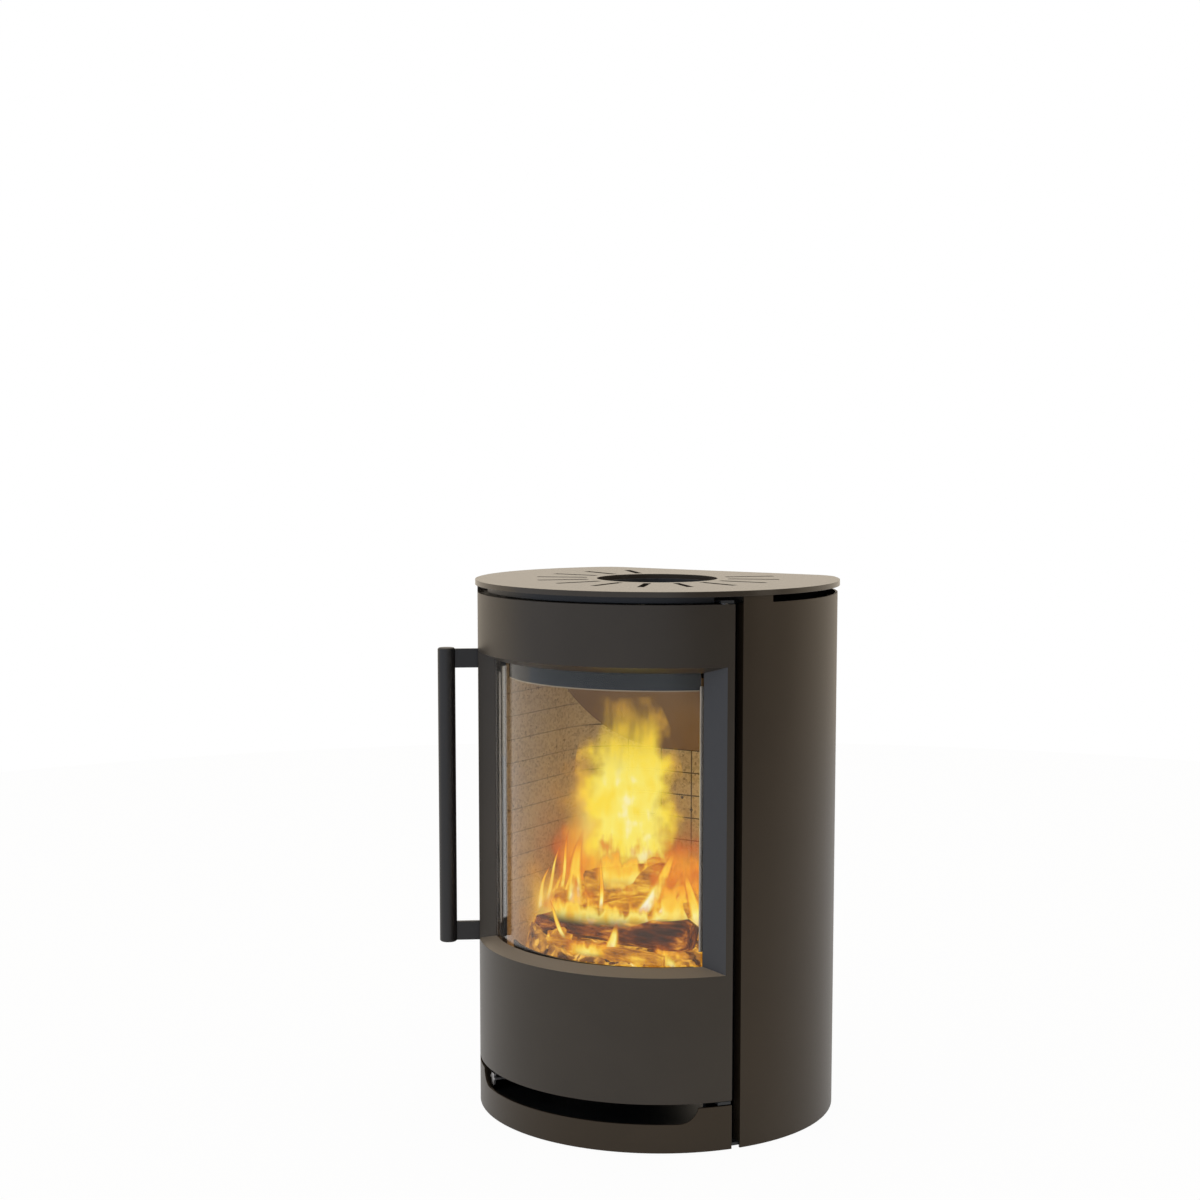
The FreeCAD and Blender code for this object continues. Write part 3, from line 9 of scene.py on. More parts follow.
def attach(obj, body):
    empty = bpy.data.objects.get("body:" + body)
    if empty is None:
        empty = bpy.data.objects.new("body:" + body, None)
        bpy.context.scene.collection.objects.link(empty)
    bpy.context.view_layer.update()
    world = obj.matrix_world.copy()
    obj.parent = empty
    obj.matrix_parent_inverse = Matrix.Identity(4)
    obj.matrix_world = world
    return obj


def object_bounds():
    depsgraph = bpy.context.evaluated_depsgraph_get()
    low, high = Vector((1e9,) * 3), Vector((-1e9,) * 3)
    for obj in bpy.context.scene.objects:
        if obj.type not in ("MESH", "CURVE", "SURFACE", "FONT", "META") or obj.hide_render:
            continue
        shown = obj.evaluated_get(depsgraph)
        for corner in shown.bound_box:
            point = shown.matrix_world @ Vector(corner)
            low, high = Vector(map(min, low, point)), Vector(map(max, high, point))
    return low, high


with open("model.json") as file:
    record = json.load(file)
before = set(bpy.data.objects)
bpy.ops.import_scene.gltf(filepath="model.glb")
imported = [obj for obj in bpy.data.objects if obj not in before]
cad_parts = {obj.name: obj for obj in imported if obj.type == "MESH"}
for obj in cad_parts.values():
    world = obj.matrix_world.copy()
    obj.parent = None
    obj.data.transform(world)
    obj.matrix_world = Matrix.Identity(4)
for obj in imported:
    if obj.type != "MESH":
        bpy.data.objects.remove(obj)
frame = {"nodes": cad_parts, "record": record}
cad_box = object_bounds()
nodes = frame["nodes"]
scene = bpy.context.scene
scene.view_settings.view_transform = "Standard"

AXIS_Y = -0.2
HEARTH_TOP = -0.2695
EMBER_HALF_WIDTH = 0.128
EMBER_REACH = 0.190
EMBER_BACK = -0.125
# Height on the air-wash deflector below which a pale reflection is painted.
DEFLECTOR_REFLECTION_TOP = 0.1146
FLOOR_RADIUS = 3.2


# Node material helpers
def new_material(name):
    mat = bpy.data.materials.new(name)
    mat.use_nodes = True
    tree = mat.node_tree
    shader = tree.nodes["Principled BSDF"]
    return mat, tree, shader


def node(tree, kind, **inputs):
    made = tree.nodes.new(kind)
    for key, val in inputs.items():
        made.inputs[key.replace("_", " ")].default_value = val
    return made


def link(tree, out, into):
    tree.links.new(out, into)


def position(tree):
    """Object coordinates: metres in the stove's own frame."""
    return tree.nodes.new("ShaderNodeTexCoord").outputs["Object"]


def noise_at(tree, where, scale, detail=3.0, rough=0.5):
    tex = node(tree, "ShaderNodeTexNoise", Scale=scale, Detail=detail, Roughness=rough)
    link(tree, where, tex.inputs["Vector"])
    return tex.outputs["Fac"]


def ramp(tree, fac, stops):
    """Map a factor through colour stops of (place, colour)."""
    made = tree.nodes.new("ShaderNodeValToRGB")
    bar = made.color_ramp
    while len(bar.elements) < len(stops):
        bar.elements.new(0.5)
    for element, (place, colour) in zip(bar.elements, stops):
        element.position = place
        element.color = colour if len(colour) == 4 else (*colour, 1)
    link(tree, fac, made.inputs["Fac"])
    return made.outputs["Color"]


def math_node(tree, operation, first, second=None):
    made = tree.nodes.new("ShaderNodeMath")
    made.operation = operation
    for socket, val in zip(made.inputs, (first, second)):
        if val is None:
            continue
        if isinstance(val, (int, float)):
            socket.default_value = val
        else:
            link(tree, val, socket)
    return made.outputs[0]


def smooth(tree, val, low, high):
    made = tree.nodes.new("ShaderNodeMapRange")
    made.interpolation_type = "SMOOTHSTEP"
    made.inputs["From Min"].default_value = low
    made.inputs["From Max"].default_value = high
    link(tree, val, made.inputs["Value"])
    return made.outputs["Result"]


def bump(tree, shader, height, strength, distance, edge=0.0):
    """Surface grain over edges that are softened by a small radius."""
    made = node(tree, "ShaderNodeBump", Strength=strength, Distance=distance)
    link(tree, height, made.inputs["Height"])
    if edge:
        rounded = tree.nodes.new("ShaderNodeBevel")
        rounded.samples = 4
        rounded.inputs["Radius"].default_value = edge
        link(tree, rounded.outputs["Normal"], made.inputs["Normal"])
    link(tree, made.outputs["Normal"], shader.inputs["Normal"])


def vector_node(tree, operation, first, second=None):
    made = tree.nodes.new("ShaderNodeVectorMath")
    made.operation = operation
    for socket, val in zip(made.inputs, (first, second)):
        if isinstance(val, tuple):
            socket.default_value = val
        elif val is not None:
            link(tree, val, socket)
    return made.outputs["Value" if operation == "DOT_PRODUCT" else "Vector"]


def split(tree, vector):
    parts = tree.nodes.new("ShaderNodeSeparateXYZ")
    link(tree, vector, parts.inputs[0])
    return parts.outputs["X"], parts.outputs["Y"], parts.outputs["Z"]


def between(tree, val, low, high):
    """1 where a value lies between two limits."""
    return math_node(tree, "MULTIPLY", math_node(tree, "GREATER_THAN", val, low),
                     math_node(tree, "LESS_THAN", val, high))


def tinted(tree, tone, mask, colour):
    """A tone that gives way to one colour where the mask is 1."""
    mixed = node(tree, "ShaderNodeMixRGB", Color2=(*colour, 1))
    link(tree, mask, mixed.inputs["Fac"])
    link(tree, tone, mixed.inputs["Color1"])
    return mixed.outputs["Color"]


def own_normal(tree):
    """The surface's direction in its own object, so it turns with the door."""
    return tree.nodes.new("ShaderNodeTexCoord").outputs["Normal"]


def jamb_reflection_mask(tree, where):
    """1 on the upright face that slants away from the round of the casing: the window's right jamb, where a
    cool reflection is painted.
    """
    from_axis = vector_node(tree, "ADD", where, (0.0, -AXIS_Y, 0.0))
    spoke = vector_node(tree, "NORMALIZE", vector_node(tree, "MULTIPLY", from_axis, (1.0, 1.0, 0.0)))
    facing = own_normal(tree)
    slant = between(tree, vector_node(tree, "DOT_PRODUCT", spoke, facing), 0.25, 0.93)
    upright = math_node(tree, "LESS_THAN", math_node(tree, "ABSOLUTE", split(tree, facing)[2]), 0.3)
    right = math_node(tree, "GREATER_THAN", split(tree, where)[0], 0.0)
    return math_node(tree, "MULTIPLY", math_node(tree, "MULTIPLY", slant, upright), right)


def sill_light_mask(tree):
    """1 on faces that slope up and out, such as the window's sill: where light from above is painted."""
    return between(tree, split(tree, own_normal(tree))[2], 0.5, 0.98)


def painted(name, colour, roughness, grain, depth, tint=(1, 1, 1), edge=0.0008, jamb=None, sill=None):
    """Stove paint: fine grain, slightly uneven in colour and gloss; a painted cool reflection can lie on the
    window's right jamb, and painted light from above on faces that slope up, such as the sill.
    """
    mat, tree, shader = new_material(name)
    where = position(tree)
    cloud = noise_at(tree, where, 9.0, 4.0)
    fine = noise_at(tree, where, grain, 2.0, 0.6)
    dark = tuple(c * 0.88 for c in colour)
    light = tuple(c * 1.12 for c in colour)
    tone = ramp(tree, cloud, ((0.3, dark), (0.7, light)))
    if jamb:
        # Painted reflection: a cool bluish tone on the window's right jamb.
        tone = tinted(tree, tone, jamb_reflection_mask(tree, where), jamb)
    if sill:
        # Painted light: a pale tone on faces that slope up and out, where light from above falls.
        tone = tinted(tree, tone, sill_light_mask(tree), sill)
    link(tree, tone, shader.inputs["Base Color"])
    low = (roughness - 0.05,) * 3
    high = (roughness + 0.05,) * 3
    link(tree, ramp(tree, fine, ((0.3, low), (0.7, high))), shader.inputs["Roughness"])
    shader.inputs["Specular Tint"].default_value = (*tint, 1)
    bump(tree, shader, fine, 0.35, depth, edge)
    return mat


def metal(name, colour, roughness, stretch=(1, 1, 1)):
    """Bare or plated metal with faint drawing lines."""
    mat, tree, shader = new_material(name)
    scaled = node(tree, "ShaderNodeMapping", Scale=stretch)
    link(tree, position(tree), scaled.inputs["Vector"])
    lines = noise_at(tree, scaled.outputs["Vector"], 160.0, 2.0)
    dark = tuple(c * 0.85 for c in colour)
    link(tree, ramp(tree, lines, ((0.3, dark), (0.7, colour))), shader.inputs["Base Color"])
    shader.inputs["Metallic"].default_value = 1.0
    shader.inputs["Roughness"].default_value = roughness
    bump(tree, shader, lines, 0.2, 0.0002, 0.0004)
    return mat


def line_mask(tree, val, start, pitch, width):
    """1 on lines that repeat along a coordinate, 0 between them."""
    steps = math_node(tree, "DIVIDE", math_node(tree, "SUBTRACT", val, start), pitch)
    return math_node(tree, "LESS_THAN", math_node(tree, "FRACT", steps), width / pitch)


def fire_board(name):
    """Pressed vermiculite: pale beige with fine dark flakes and dark joint lines, which also paint the shade
    in the pressed grooves.
    """
    mat, tree, shader = new_material(name)
    where = position(tree)
    flakes = node(tree, "ShaderNodeTexVoronoi", Scale=330.0)
    link(tree, where, flakes.inputs["Vector"])
    tone = math_node(tree, "ADD", math_node(tree, "MULTIPLY", flakes.outputs["Color"], 0.5),
                     math_node(tree, "MULTIPLY", noise_at(tree, where, 12.0, 3.0), 0.4))
    colours = ((0.14, (0.20, 0.15, 0.105)), (0.26, (0.52, 0.43, 0.32)),
               (0.45, (0.68, 0.58, 0.45)), (0.75, (0.76, 0.68, 0.55)))
    speckled = ramp(tree, tone, colours)
    x, y, z = split(tree, where)
    course_joints_and_shade = math_node(tree, "MULTIPLY", line_mask(tree, z, -0.2701, 0.03266, 0.0016),
                        smooth(tree, y, -0.17, -0.13))
    upright_joints_and_shade = math_node(tree, "MULTIPLY", line_mask(tree, x, -0.3009, 0.05, 0.0018),
                       math_node(tree, "GREATER_THAN", y, -0.11))
    # Dark joint lines, partly painted shade in the grooves.
    lines = math_node(tree, "MAXIMUM", course_joints_and_shade, upright_joints_and_shade)
    link(tree, tinted(tree, speckled, lines, (0.12, 0.09, 0.06)), shader.inputs["Base Color"])
    shader.inputs["Roughness"].default_value = 0.9
    shader.inputs["Specular IOR Level"].default_value = 0.15
    bump(tree, shader, flakes.outputs["Distance"], 0.3, 0.0004, 0.0005)
    return mat


def even(name, colour, roughness, specular, rim=None):
    """A smooth surface with slight clouds of tone; below a given height it turns to a pale painted
    reflection.
    """
    mat, tree, shader = new_material(name)
    where = position(tree)
    dark = tuple(c * 0.9 for c in colour)
    light = tuple(c * 1.1 for c in colour)
    tone = ramp(tree, noise_at(tree, where, 16.0, 3.0), ((0.3, dark), (0.7, light)))
    # Painted reflection: a pale band below the given height.
    if rim:
        below = math_node(tree, "LESS_THAN", split(tree, where)[2], rim)
        tone = tinted(tree, tone, below, (0.42, 0.35, 0.26))
    link(tree, tone, shader.inputs["Base Color"])
    shader.inputs["Roughness"].default_value = roughness
    shader.inputs["Specular IOR Level"].default_value = specular
    return mat


def clear_glass(name):
    mat, tree, shader = new_material(name)
    shader.inputs["Base Color"].default_value = (0.97, 0.95, 0.92, 1)
    shader.inputs["Roughness"].default_value = 0.0
    shader.inputs["IOR"].default_value = 1.34
    shader.inputs["Transmission Weight"].default_value = 1.0
    clear = node(tree, "ShaderNodeBsdfTransparent", Color=(0.95, 0.94, 0.91, 1))
    blend = tree.nodes.new("ShaderNodeMixShader")
    path = tree.nodes.new("ShaderNodeLightPath")
    lamp = math_node(tree, "MAXIMUM", path.outputs["Is Shadow Ray"], path.outputs["Is Diffuse Ray"])
    link(tree, lamp, blend.inputs[0])
    link(tree, shader.outputs[0], blend.inputs[1])
    link(tree, clear.outputs[0], blend.inputs[2])
    link(tree, blend.outputs[0], tree.nodes["Material Output"].inputs["Surface"])
    return mat


def woven(name, colour):
    """Glass-fibre rope: a braid of slanting ridges."""
    mat, tree, shader = new_material(name)
    wave = node(tree, "ShaderNodeTexWave", Scale=140.0, Distortion=3.0)
    wave.bands_direction = "DIAGONAL"
    link(tree, position(tree), wave.inputs["Vector"])
    dark = tuple(c * 0.6 for c in colour)
    link(tree, ramp(tree, wave.outputs["Fac"], ((0.2, dark), (0.8, colour))), shader.inputs["Base Color"])
    shader.inputs["Roughness"].default_value = 0.95
    bump(tree, shader, wave.outputs["Fac"], 0.6, 0.0008)
    return mat


MATERIALS = {
    "casing_paint": painted("casing_paint", (0.021, 0.0150, 0.0098), 0.38, 1500.0, 0.00004,
                            (1.0, 0.84, 0.66)),
    "plate_paint": painted("plate_paint", (0.044, 0.036, 0.028), 0.22, 1500.0, 0.00002, (1.0, 0.93, 0.82)),
    # The door's jamb colour is a painted cool reflection; its sill colour is painted light from above.
    "door_paint": painted("door_paint", (0.029, 0.0235, 0.0185), 0.39, 900.0, 0.00012, (1.0, 0.93, 0.83),
                          jamb=(0.040, 0.044, 0.053), sill=(0.20, 0.165, 0.125)),
    "handle_paint": painted("handle_paint", (0.016, 0.015, 0.015), 0.42, 1500.0, 0.0001),
    "inner_steel": painted("inner_steel", (0.020, 0.022, 0.025), 0.42, 900.0, 0.000004),
    "mount_steel": painted("mount_steel", (0.022, 0.021, 0.021), 0.55, 1200.0, 0.00015),
    "zinc_steel": metal("zinc_steel", (0.55, 0.55, 0.56), 0.32),
    "strip_steel": metal("strip_steel", (0.60, 0.57, 0.53), 0.38, (1, 1, 0.05)),
    "bush_brass": metal("bush_brass", (0.66, 0.49, 0.22), 0.3),
    "fire_board": fire_board("fire_board"),
    "fire_glass": clear_glass("fire_glass"),
    "seal_rope": woven("seal_rope", (0.30, 0.29, 0.28)),
    "grate_iron": painted("grate_iron", (0.05, 0.045, 0.042), 0.7, 500.0, 0.0006),
}
for sub in frame["record"]["subparts"]:
    for slot in nodes[sub["node"]].material_slots:
        slot.material = MATERIALS[sub["material_slot"]]
# Painted shade: the smoke baffle gets a darker, browner copy of the fire board.
painted_shade_board = even("board_with_painted_shade", (0.27, 0.185, 0.105), 0.9, 0.1)
nodes["smoke_baffle"].material_slots[0].material = painted_shade_board
blued_and_reflection = even("blued_steel_and_painted_reflection", (0.020, 0.027, 0.034), 0.6, 0.05, DEFLECTOR_REFLECTION_TOP)
nodes["air_wash_deflector"].material_slots[0].material = blued_and_reflection


# Burning logs, embers and flames, which lie loose in the open firebox
def burning_wood(name, stops):
    """Wood on fire: streaks of grain and patches of char, glowing by their heat."""
    mat, tree, shader = new_material(name)
    where = position(tree)
    drawn = node(tree, "ShaderNodeMapping", Scale=(0.22, 1.0, 1.0))
    link(tree, where, drawn.inputs["Vector"])
    grain = noise_at(tree, drawn.outputs["Vector"], 130.0, 5.0, 0.6)
    patches = noise_at(tree, where, 20.0, 4.0, 0.55)
    heat = math_node(tree, "ADD", math_node(tree, "MULTIPLY", grain, 0.5),
                     math_node(tree, "MULTIPLY", patches, 0.5))
    glow = ramp(tree, heat, stops)
    link(tree, glow, shader.inputs["Emission Color"])
    shader.inputs["Emission Strength"].default_value = 0.9
    shader.inputs["Base Color"].default_value = (0.035, 0.016, 0.007, 1)
    shader.inputs["Roughness"].default_value = 0.9
    bump(tree, shader, heat, 0.8, 0.004)
    return mat


def ember_heap(name):
    """Small coals that run from dull red-brown to yellow heat."""
    mat, tree, shader = new_material(name)
    where = position(tree)
    coals = node(tree, "ShaderNodeTexVoronoi", Scale=120.0)
    link(tree, where, coals.inputs["Vector"])
    tone = math_node(tree, "ADD", math_node(tree, "MULTIPLY", coals.outputs["Color"], 0.35),
                     math_node(tree, "MULTIPLY", noise_at(tree, where, 40.0, 4.0), 0.75))
    glow = ((0.36, (0.05, 0.014, 0.002)), (0.47, (0.26, 0.090, 0.007)), (0.57, (0.52, 0.22, 0.016)),
            (0.68, (0.88, 0.48, 0.05)), (0.78, (1.0, 0.82, 0.30)))
    link(tree, ramp(tree, tone, glow), shader.inputs["Emission Color"])
    shader.inputs["Emission Strength"].default_value = 0.95
    shader.inputs["Base Color"].default_value = (0.04, 0.022, 0.012, 1)
    shader.inputs["Roughness"].default_value = 0.95
    return mat


def flame(name, stops, opacity, ragged, core, fade_from, fringe, cool):
    """A soft-edged sheet of flame: its map runs across from 0 to 1 and up from 0 to 1."""
    mat, tree, shader = new_material(name)
    where = position(tree)
    across, up, _ = split(tree, tree.nodes.new("ShaderNodeTexCoord").outputs["UV"])
    drawn = node(tree, "ShaderNodeMapping", Scale=(1.0, 1.0, 0.25))
    link(tree, where, drawn.inputs["Vector"])
    streaks = math_node(tree, "SUBTRACT", noise_at(tree, drawn.outputs["Vector"], 85.0, 2.0, 0.5), 0.5)
    curls = math_node(tree, "SUBTRACT", noise_at(tree, where, 30.0, 2.0, 0.5), 0.5)
    centred = math_node(tree, "SUBTRACT", math_node(tree, "MULTIPLY", across, 2.0), 1.0)
    side = math_node(tree, "ABSOLUTE", centred)
    frayed = math_node(tree, "ADD", side, math_node(tree, "MULTIPLY", curls, ragged))
    inward = math_node(tree, "SUBTRACT", 1.0, frayed)
    uneven = math_node(tree, "ADD", math_node(tree, "MULTIPLY", streaks, 0.6),
                       math_node(tree, "MULTIPLY", curls, 0.9))
    tall = math_node(tree, "ADD", up, math_node(tree, "MULTIPLY", uneven, fringe))
    fade = math_node(tree, "SUBTRACT", 1.0, smooth(tree, tall, fade_from, fade_from + 0.42))
    start = smooth(tree, up, 0.0, 0.25)
    body = math_node(tree, "MULTIPLY", smooth(tree, inward, 0.0, core), fade)
    alpha = math_node(tree, "MULTIPLY", math_node(tree, "MULTIPLY", body, start), opacity)
    swirl = math_node(tree, "ADD", math_node(tree, "MULTIPLY", streaks, 0.35),
                      math_node(tree, "MULTIPLY", curls, 0.8))
    depth = math_node(tree, "SUBTRACT", math_node(tree, "MULTIPLY", body, 0.55),
                      math_node(tree, "MULTIPLY", up, cool))
    link(tree, ramp(tree, math_node(tree, "ADD", depth, swirl), stops), shader.inputs["Emission Color"])
    link(tree, alpha, shader.inputs["Alpha"])
    shader.inputs["Base Color"].default_value = (0, 0, 0, 1)
    shader.inputs["Specular IOR Level"].default_value = 0.0
    shader.inputs["Roughness"].default_value = 1.0
    shader.inputs["Emission Strength"].default_value = 1.0
    return mat


def loose(name, verts, faces, mat, uvs=None):
    """A piece of the fire, carried by the stove's body."""
    mesh = bpy.data.meshes.new(name)
    mesh.from_pydata(verts, [], faces)
    mesh.materials.append(mat)
    if uvs:
        layer = mesh.uv_layers.new(name="flame")
        for loop in mesh.loops:
            layer.data[loop.index].uv = uvs[loop.vertex_index]
    mesh.shade_smooth()
    piece = bpy.data.objects.new(name, mesh)
    scene.collection.objects.link(piece)
    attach(piece, "stove_body")
    return piece


def grid_faces(first, rows, cols, closed):
    faces = []
    for i in range(rows - 1):
        for j in range(cols if closed else cols - 1):
            k = (j + 1) % cols
            faces.append((first + i * cols + j, first + i * cols + k,
                          first + (i + 1) * cols + k, first + (i + 1) * cols + j))
    return faces


def split_log(name, tail, head, radius, turn, mat):
    """A split log: a bark side and two cleft faces, uneven along its length."""
    tail, head = Vector(tail), Vector(head)
    along = (head - tail).normalized()
    side = along.cross(Vector((0, 0, 1))).normalized()
    rise = side.cross(along)
    outline = []
    for i in range(9):
        angle = math.radians(-70 + 140 * i / 8)
        outline.append((math.cos(angle) - 0.35, math.sin(angle)))
    outline += [(-0.42, 0.55), (-0.78, 0.14), (-0.72, -0.22), (-0.38, -0.6)]
    rows = 26
    verts = []
    for i in range(rows):
        share = i / (rows - 1)
        middle = tail.lerp(head, share)
        end = min(1.0, 0.80 + 6 * min(share, 1 - share))
        for x, z in outline:
            swell = 1 + 0.22 * noise.noise(Vector((x * 1.5, z * 1.5, share * 4)) + tail * 40)
            a = x * math.cos(turn) - z * math.sin(turn)
            b = x * math.sin(turn) + z * math.cos(turn)
            verts.append(middle + (side * a + rise * b) * radius * end * swell)
    cols = len(outline)
    faces = grid_faces(0, rows, cols, True)
    faces.append(tuple(reversed(range(cols))))
    faces.append(tuple((rows - 1) * cols + j for j in range(cols)))
    return loose(name, verts, faces, mat)


def ember_bed(mat):
    rows, cols = 46, 56
    verts = []
    for i in range(rows):
        for j in range(cols):
            x = EMBER_HALF_WIDTH * (2 * j / (cols - 1) - 1)
            front = AXIS_Y - math.sqrt(EMBER_REACH ** 2 - x ** 2)
            y = front + (EMBER_BACK - front) * i / (rows - 1)
            rim = min(1.0, 24 * min(i / (rows - 1), 1 - i / (rows - 1)),
                      30 * min(j / (cols - 1), 1 - j / (cols - 1)))
            bank = 0.034 * max(0.0, (-x - 0.03) / 0.098) ** 1.5
            lumps = noise.noise(Vector((x, y, 0.3)) * 46) + 0.6 * noise.noise(Vector((x, y, 0.9)) * 110)
            verts.append((x, y, HEARTH_TOP + rim * (0.016 + bank + 0.009 * lumps)))
    loose("ember_bed", verts, grid_faces(0, rows, cols, False), mat)


def full_shape(up):
    return 1.0 - 0.5 * max(0.0, (up - 0.55) / 0.45) ** 2


def pointed_shape(up):
    return (0.5 + 4.0 * up) if up < 0.125 else (1 - (up - 0.125) / 0.875) ** 0.8


def level_shape(_):
    return 1.0


def tongues(name, mat, shape, listing, seed, bend=1.6):
    """Sheets of flame: foot, height, width, facing, lean and sway of each; a bend under 1 curls upwards."""
    draw = random.Random(seed)
    rows, cols = 22, 9
    verts, faces, uvs = [], [], []
    for foot, height, width, facing, lean, sway in listing:
        first = len(verts)
        across = Vector((math.cos(facing), math.sin(facing), 0))
        out = Vector((math.sin(facing), -math.cos(facing), 0))
        phase = draw.uniform(0, 6.28)
        for i in range(rows):
            up = i / (rows - 1)
            wander = sway * math.sin(phase + up * 5.0) * up
            for j in range(cols):
                u = j / (cols - 1)
                part = (2 * u - 1) * width / 2 * (shape(up) + 0.03)
                bow = (1 - (2 * u - 1) ** 2) * width * 0.15
                spot = Vector(foot) + across * (part + wander + lean * up ** bend) + out * bow
                verts.append(spot + Vector((0, 0, height * up)))
                uvs.append((u, up))
        faces += grid_faces(first, rows, cols, False)
    loose(name, verts, faces, mat, uvs)


CHARRED = ((0.42, (0.014, 0.003, 0.001)), (0.49, (0.10, 0.020, 0.003)), (0.54, (0.27, 0.065, 0.006)),
           (0.59, (0.60, 0.21, 0.012)), (0.66, (1.0, 0.62, 0.07)))
AMBER = ((0.38, (0.14, 0.040, 0.003)), (0.45, (0.46, 0.16, 0.006)), (0.52, (0.72, 0.31, 0.010)),
         (0.61, (1.0, 0.62, 0.05)))
charred = burning_wood("wood_charred", CHARRED)
amber = burning_wood("wood_amber", AMBER)
LOGS = (
    ("log_front", (-0.118, -0.312, -0.222), (0.120, -0.316, -0.219), 0.030, 1.2, charred),
    ("log_low", (-0.095, -0.345, -0.252), (0.100, -0.350, -0.250), 0.018, 2.2, amber),
    ("log_back", (-0.125, -0.235, -0.222), (0.122, -0.222, -0.216), 0.034, 0.4, amber),
    ("log_rise_left", (-0.100, -0.310, -0.200), (0.040, -0.215, -0.150), 0.028, 1.9, amber),
    ("log_rise_right", (0.118, -0.292, -0.196), (-0.010, -0.210, -0.140), 0.027, 0.9, amber),
    ("log_left", (-0.130, -0.296, -0.246), (-0.062, -0.342, -0.240), 0.020, 0.8, amber),
    ("log_top", (-0.050, -0.300, -0.174), (0.062, -0.268, -0.156), 0.029, 2.6, amber),
)
for label, tail, head, radius, turn, mat in LOGS:
    split_log(label, tail, head, radius, turn, mat)
ember_bed(ember_heap("embers"))

YELLOW = ((0.00, (0.95, 0.52, 0.05)), (0.20, (1.0, 0.66, 0.04)), (0.40, (1.0, 0.76, 0.05)),
          (0.62, (1.0, 0.86, 0.15)), (0.80, (1.0, 0.96, 0.65)))
SOFT = ((0.00, (0.70, 0.30, 0.03)), (0.30, (0.88, 0.48, 0.05)), (0.6, (1.0, 0.76, 0.16)))
RED = ((0.00, (0.42, 0.05, 0.004)), (0.30, (0.70, 0.14, 0.008)), (0.6, (0.95, 0.38, 0.02)))
WHITE_HOT = ((0.00, (0.70, 0.16, 0.01)), (0.18, (0.96, 0.40, 0.02)), (0.36, (1.0, 0.64, 0.05)),
             (0.52, (1.0, 0.86, 0.20)), (0.68, (1.0, 0.97, 0.72)))
column = (((-0.014, -0.242, -0.190), 0.276, 0.146, 0.52, -0.008, 0.003),)
yellow = flame("flame_yellow", YELLOW, 0.97, 0.9, 0.50, 0.63, 0.34, 0.05)
tongues("flame_column", yellow, full_shape, column, 3)
swirl = (
    ((-0.074, -0.246, -0.150), 0.180, 0.110, 0.52, -0.006, 0.004),
    ((-0.099, -0.318, -0.266), 0.150, 0.084, 0.45, -0.006, 0.003),
    ((-0.131, -0.275, -0.268), 0.130, 0.110, 1.57, 0.0, 0.002),
)
tongues("flame_swirl", flame("flame_soft", SOFT, 0.72, 0.9, 0.9, 0.45, 0.4, 0.1), full_shape, swirl, 4)
haze = (
    ((-0.088, -0.246, -0.210), 0.176, 0.112, 0.5, 0.0, 0.004),
    ((0.082, -0.262, -0.205), 0.160, 0.110, 0.5, 0.0, 0.004),
)
tongues("flame_haze", flame("flame_red", RED, 0.95, 0.9, 0.7, 0.42, 0.5, 0.1), full_shape, haze, 5)
fringes = (
    ((0.000, -0.318, -0.216), 0.086, 0.200, 0.25, 0.010, 0.002),
    ((0.092, -0.300, -0.214), 0.110, 0.090, 0.55, 0.010, 0.002),
    ((0.012, -0.286, -0.176), 0.100, 0.110, 0.50, 0.012, 0.002),
)
bright = flame("flame_bright", WHITE_HOT, 0.96, 0.5, 0.35, 0.26, 1.4, 0.45)
tongues("flame_fringe", bright, level_shape, fringes, 6)
licks = (
    ((-0.117, -0.318, -0.214), 0.072, 0.011, 0.5, 0.016, 0.004),
    ((-0.107, -0.314, -0.204), 0.092, 0.009, 0.4, 0.026, 0.005),
    ((-0.096, -0.320, -0.208), 0.062, 0.013, 0.6, 0.016, 0.003),
    ((-0.088, -0.312, -0.198), 0.108, 0.010, 0.5, 0.020, 0.006),
    ((-0.076, -0.316, -0.204), 0.066, 0.008, 0.5, 0.010, 0.004),
    ((-0.058, -0.322, -0.210), 0.124, 0.034, 0.5, 0.010, 0.004),
    ((-0.016, -0.322, -0.207), 0.090, 0.010, 0.5, 0.003, 0.003),
    ((0.090, -0.312, -0.206), 0.062, 0.020, 0.5, 0.024, 0.005),
    ((-0.088, -0.348, -0.260), 0.034, 0.014, 0.4, 0.010, 0.003),
)
white = flame("flame_white", WHITE_HOT, 0.97, 0.4, 0.7, 0.62, 0.3, 0.25)
tongues("flame_licks", white, pointed_shape, licks, 7)
curls = (
    ((0.030, -0.324, -0.206), 0.108, 0.036, 0.45, 0.066, 0.002),
    ((0.056, -0.318, -0.206), 0.074, 0.024, 0.45, 0.050, 0.002),
    ((0.130, -0.302, -0.210), 0.086, 0.026, 0.6, -0.022, 0.003),
    ((-0.054, -0.344, -0.240), 0.058, 0.011, 0.3, -0.026, 0.001),
    ((0.008, -0.350, -0.250), 0.048, 0.028, 0.2, 0.020, 0.002),
)
tongues("flame_curls", white, pointed_shape, curls, 8, 0.6)
glints = (
    ((-0.012, -0.352, -0.254), 0.036, 0.090, 0.05, 0.010, 0.002),
    ((-0.048, -0.352, -0.266), 0.024, 0.044, -0.1, 0.010, 0.002),
    ((0.104, -0.336, -0.260), 0.046, 0.062, 0.6, -0.016, 0.002),
    ((0.060, -0.352, -0.266), 0.020, 0.050, 0.3, 0.010, 0.002),
)
low = flame("flame_low", WHITE_HOT, 0.95, 1.4, 0.9, 0.34, 1.6, 0.3)
tongues("flame_glints", low, full_shape, glints, 9)


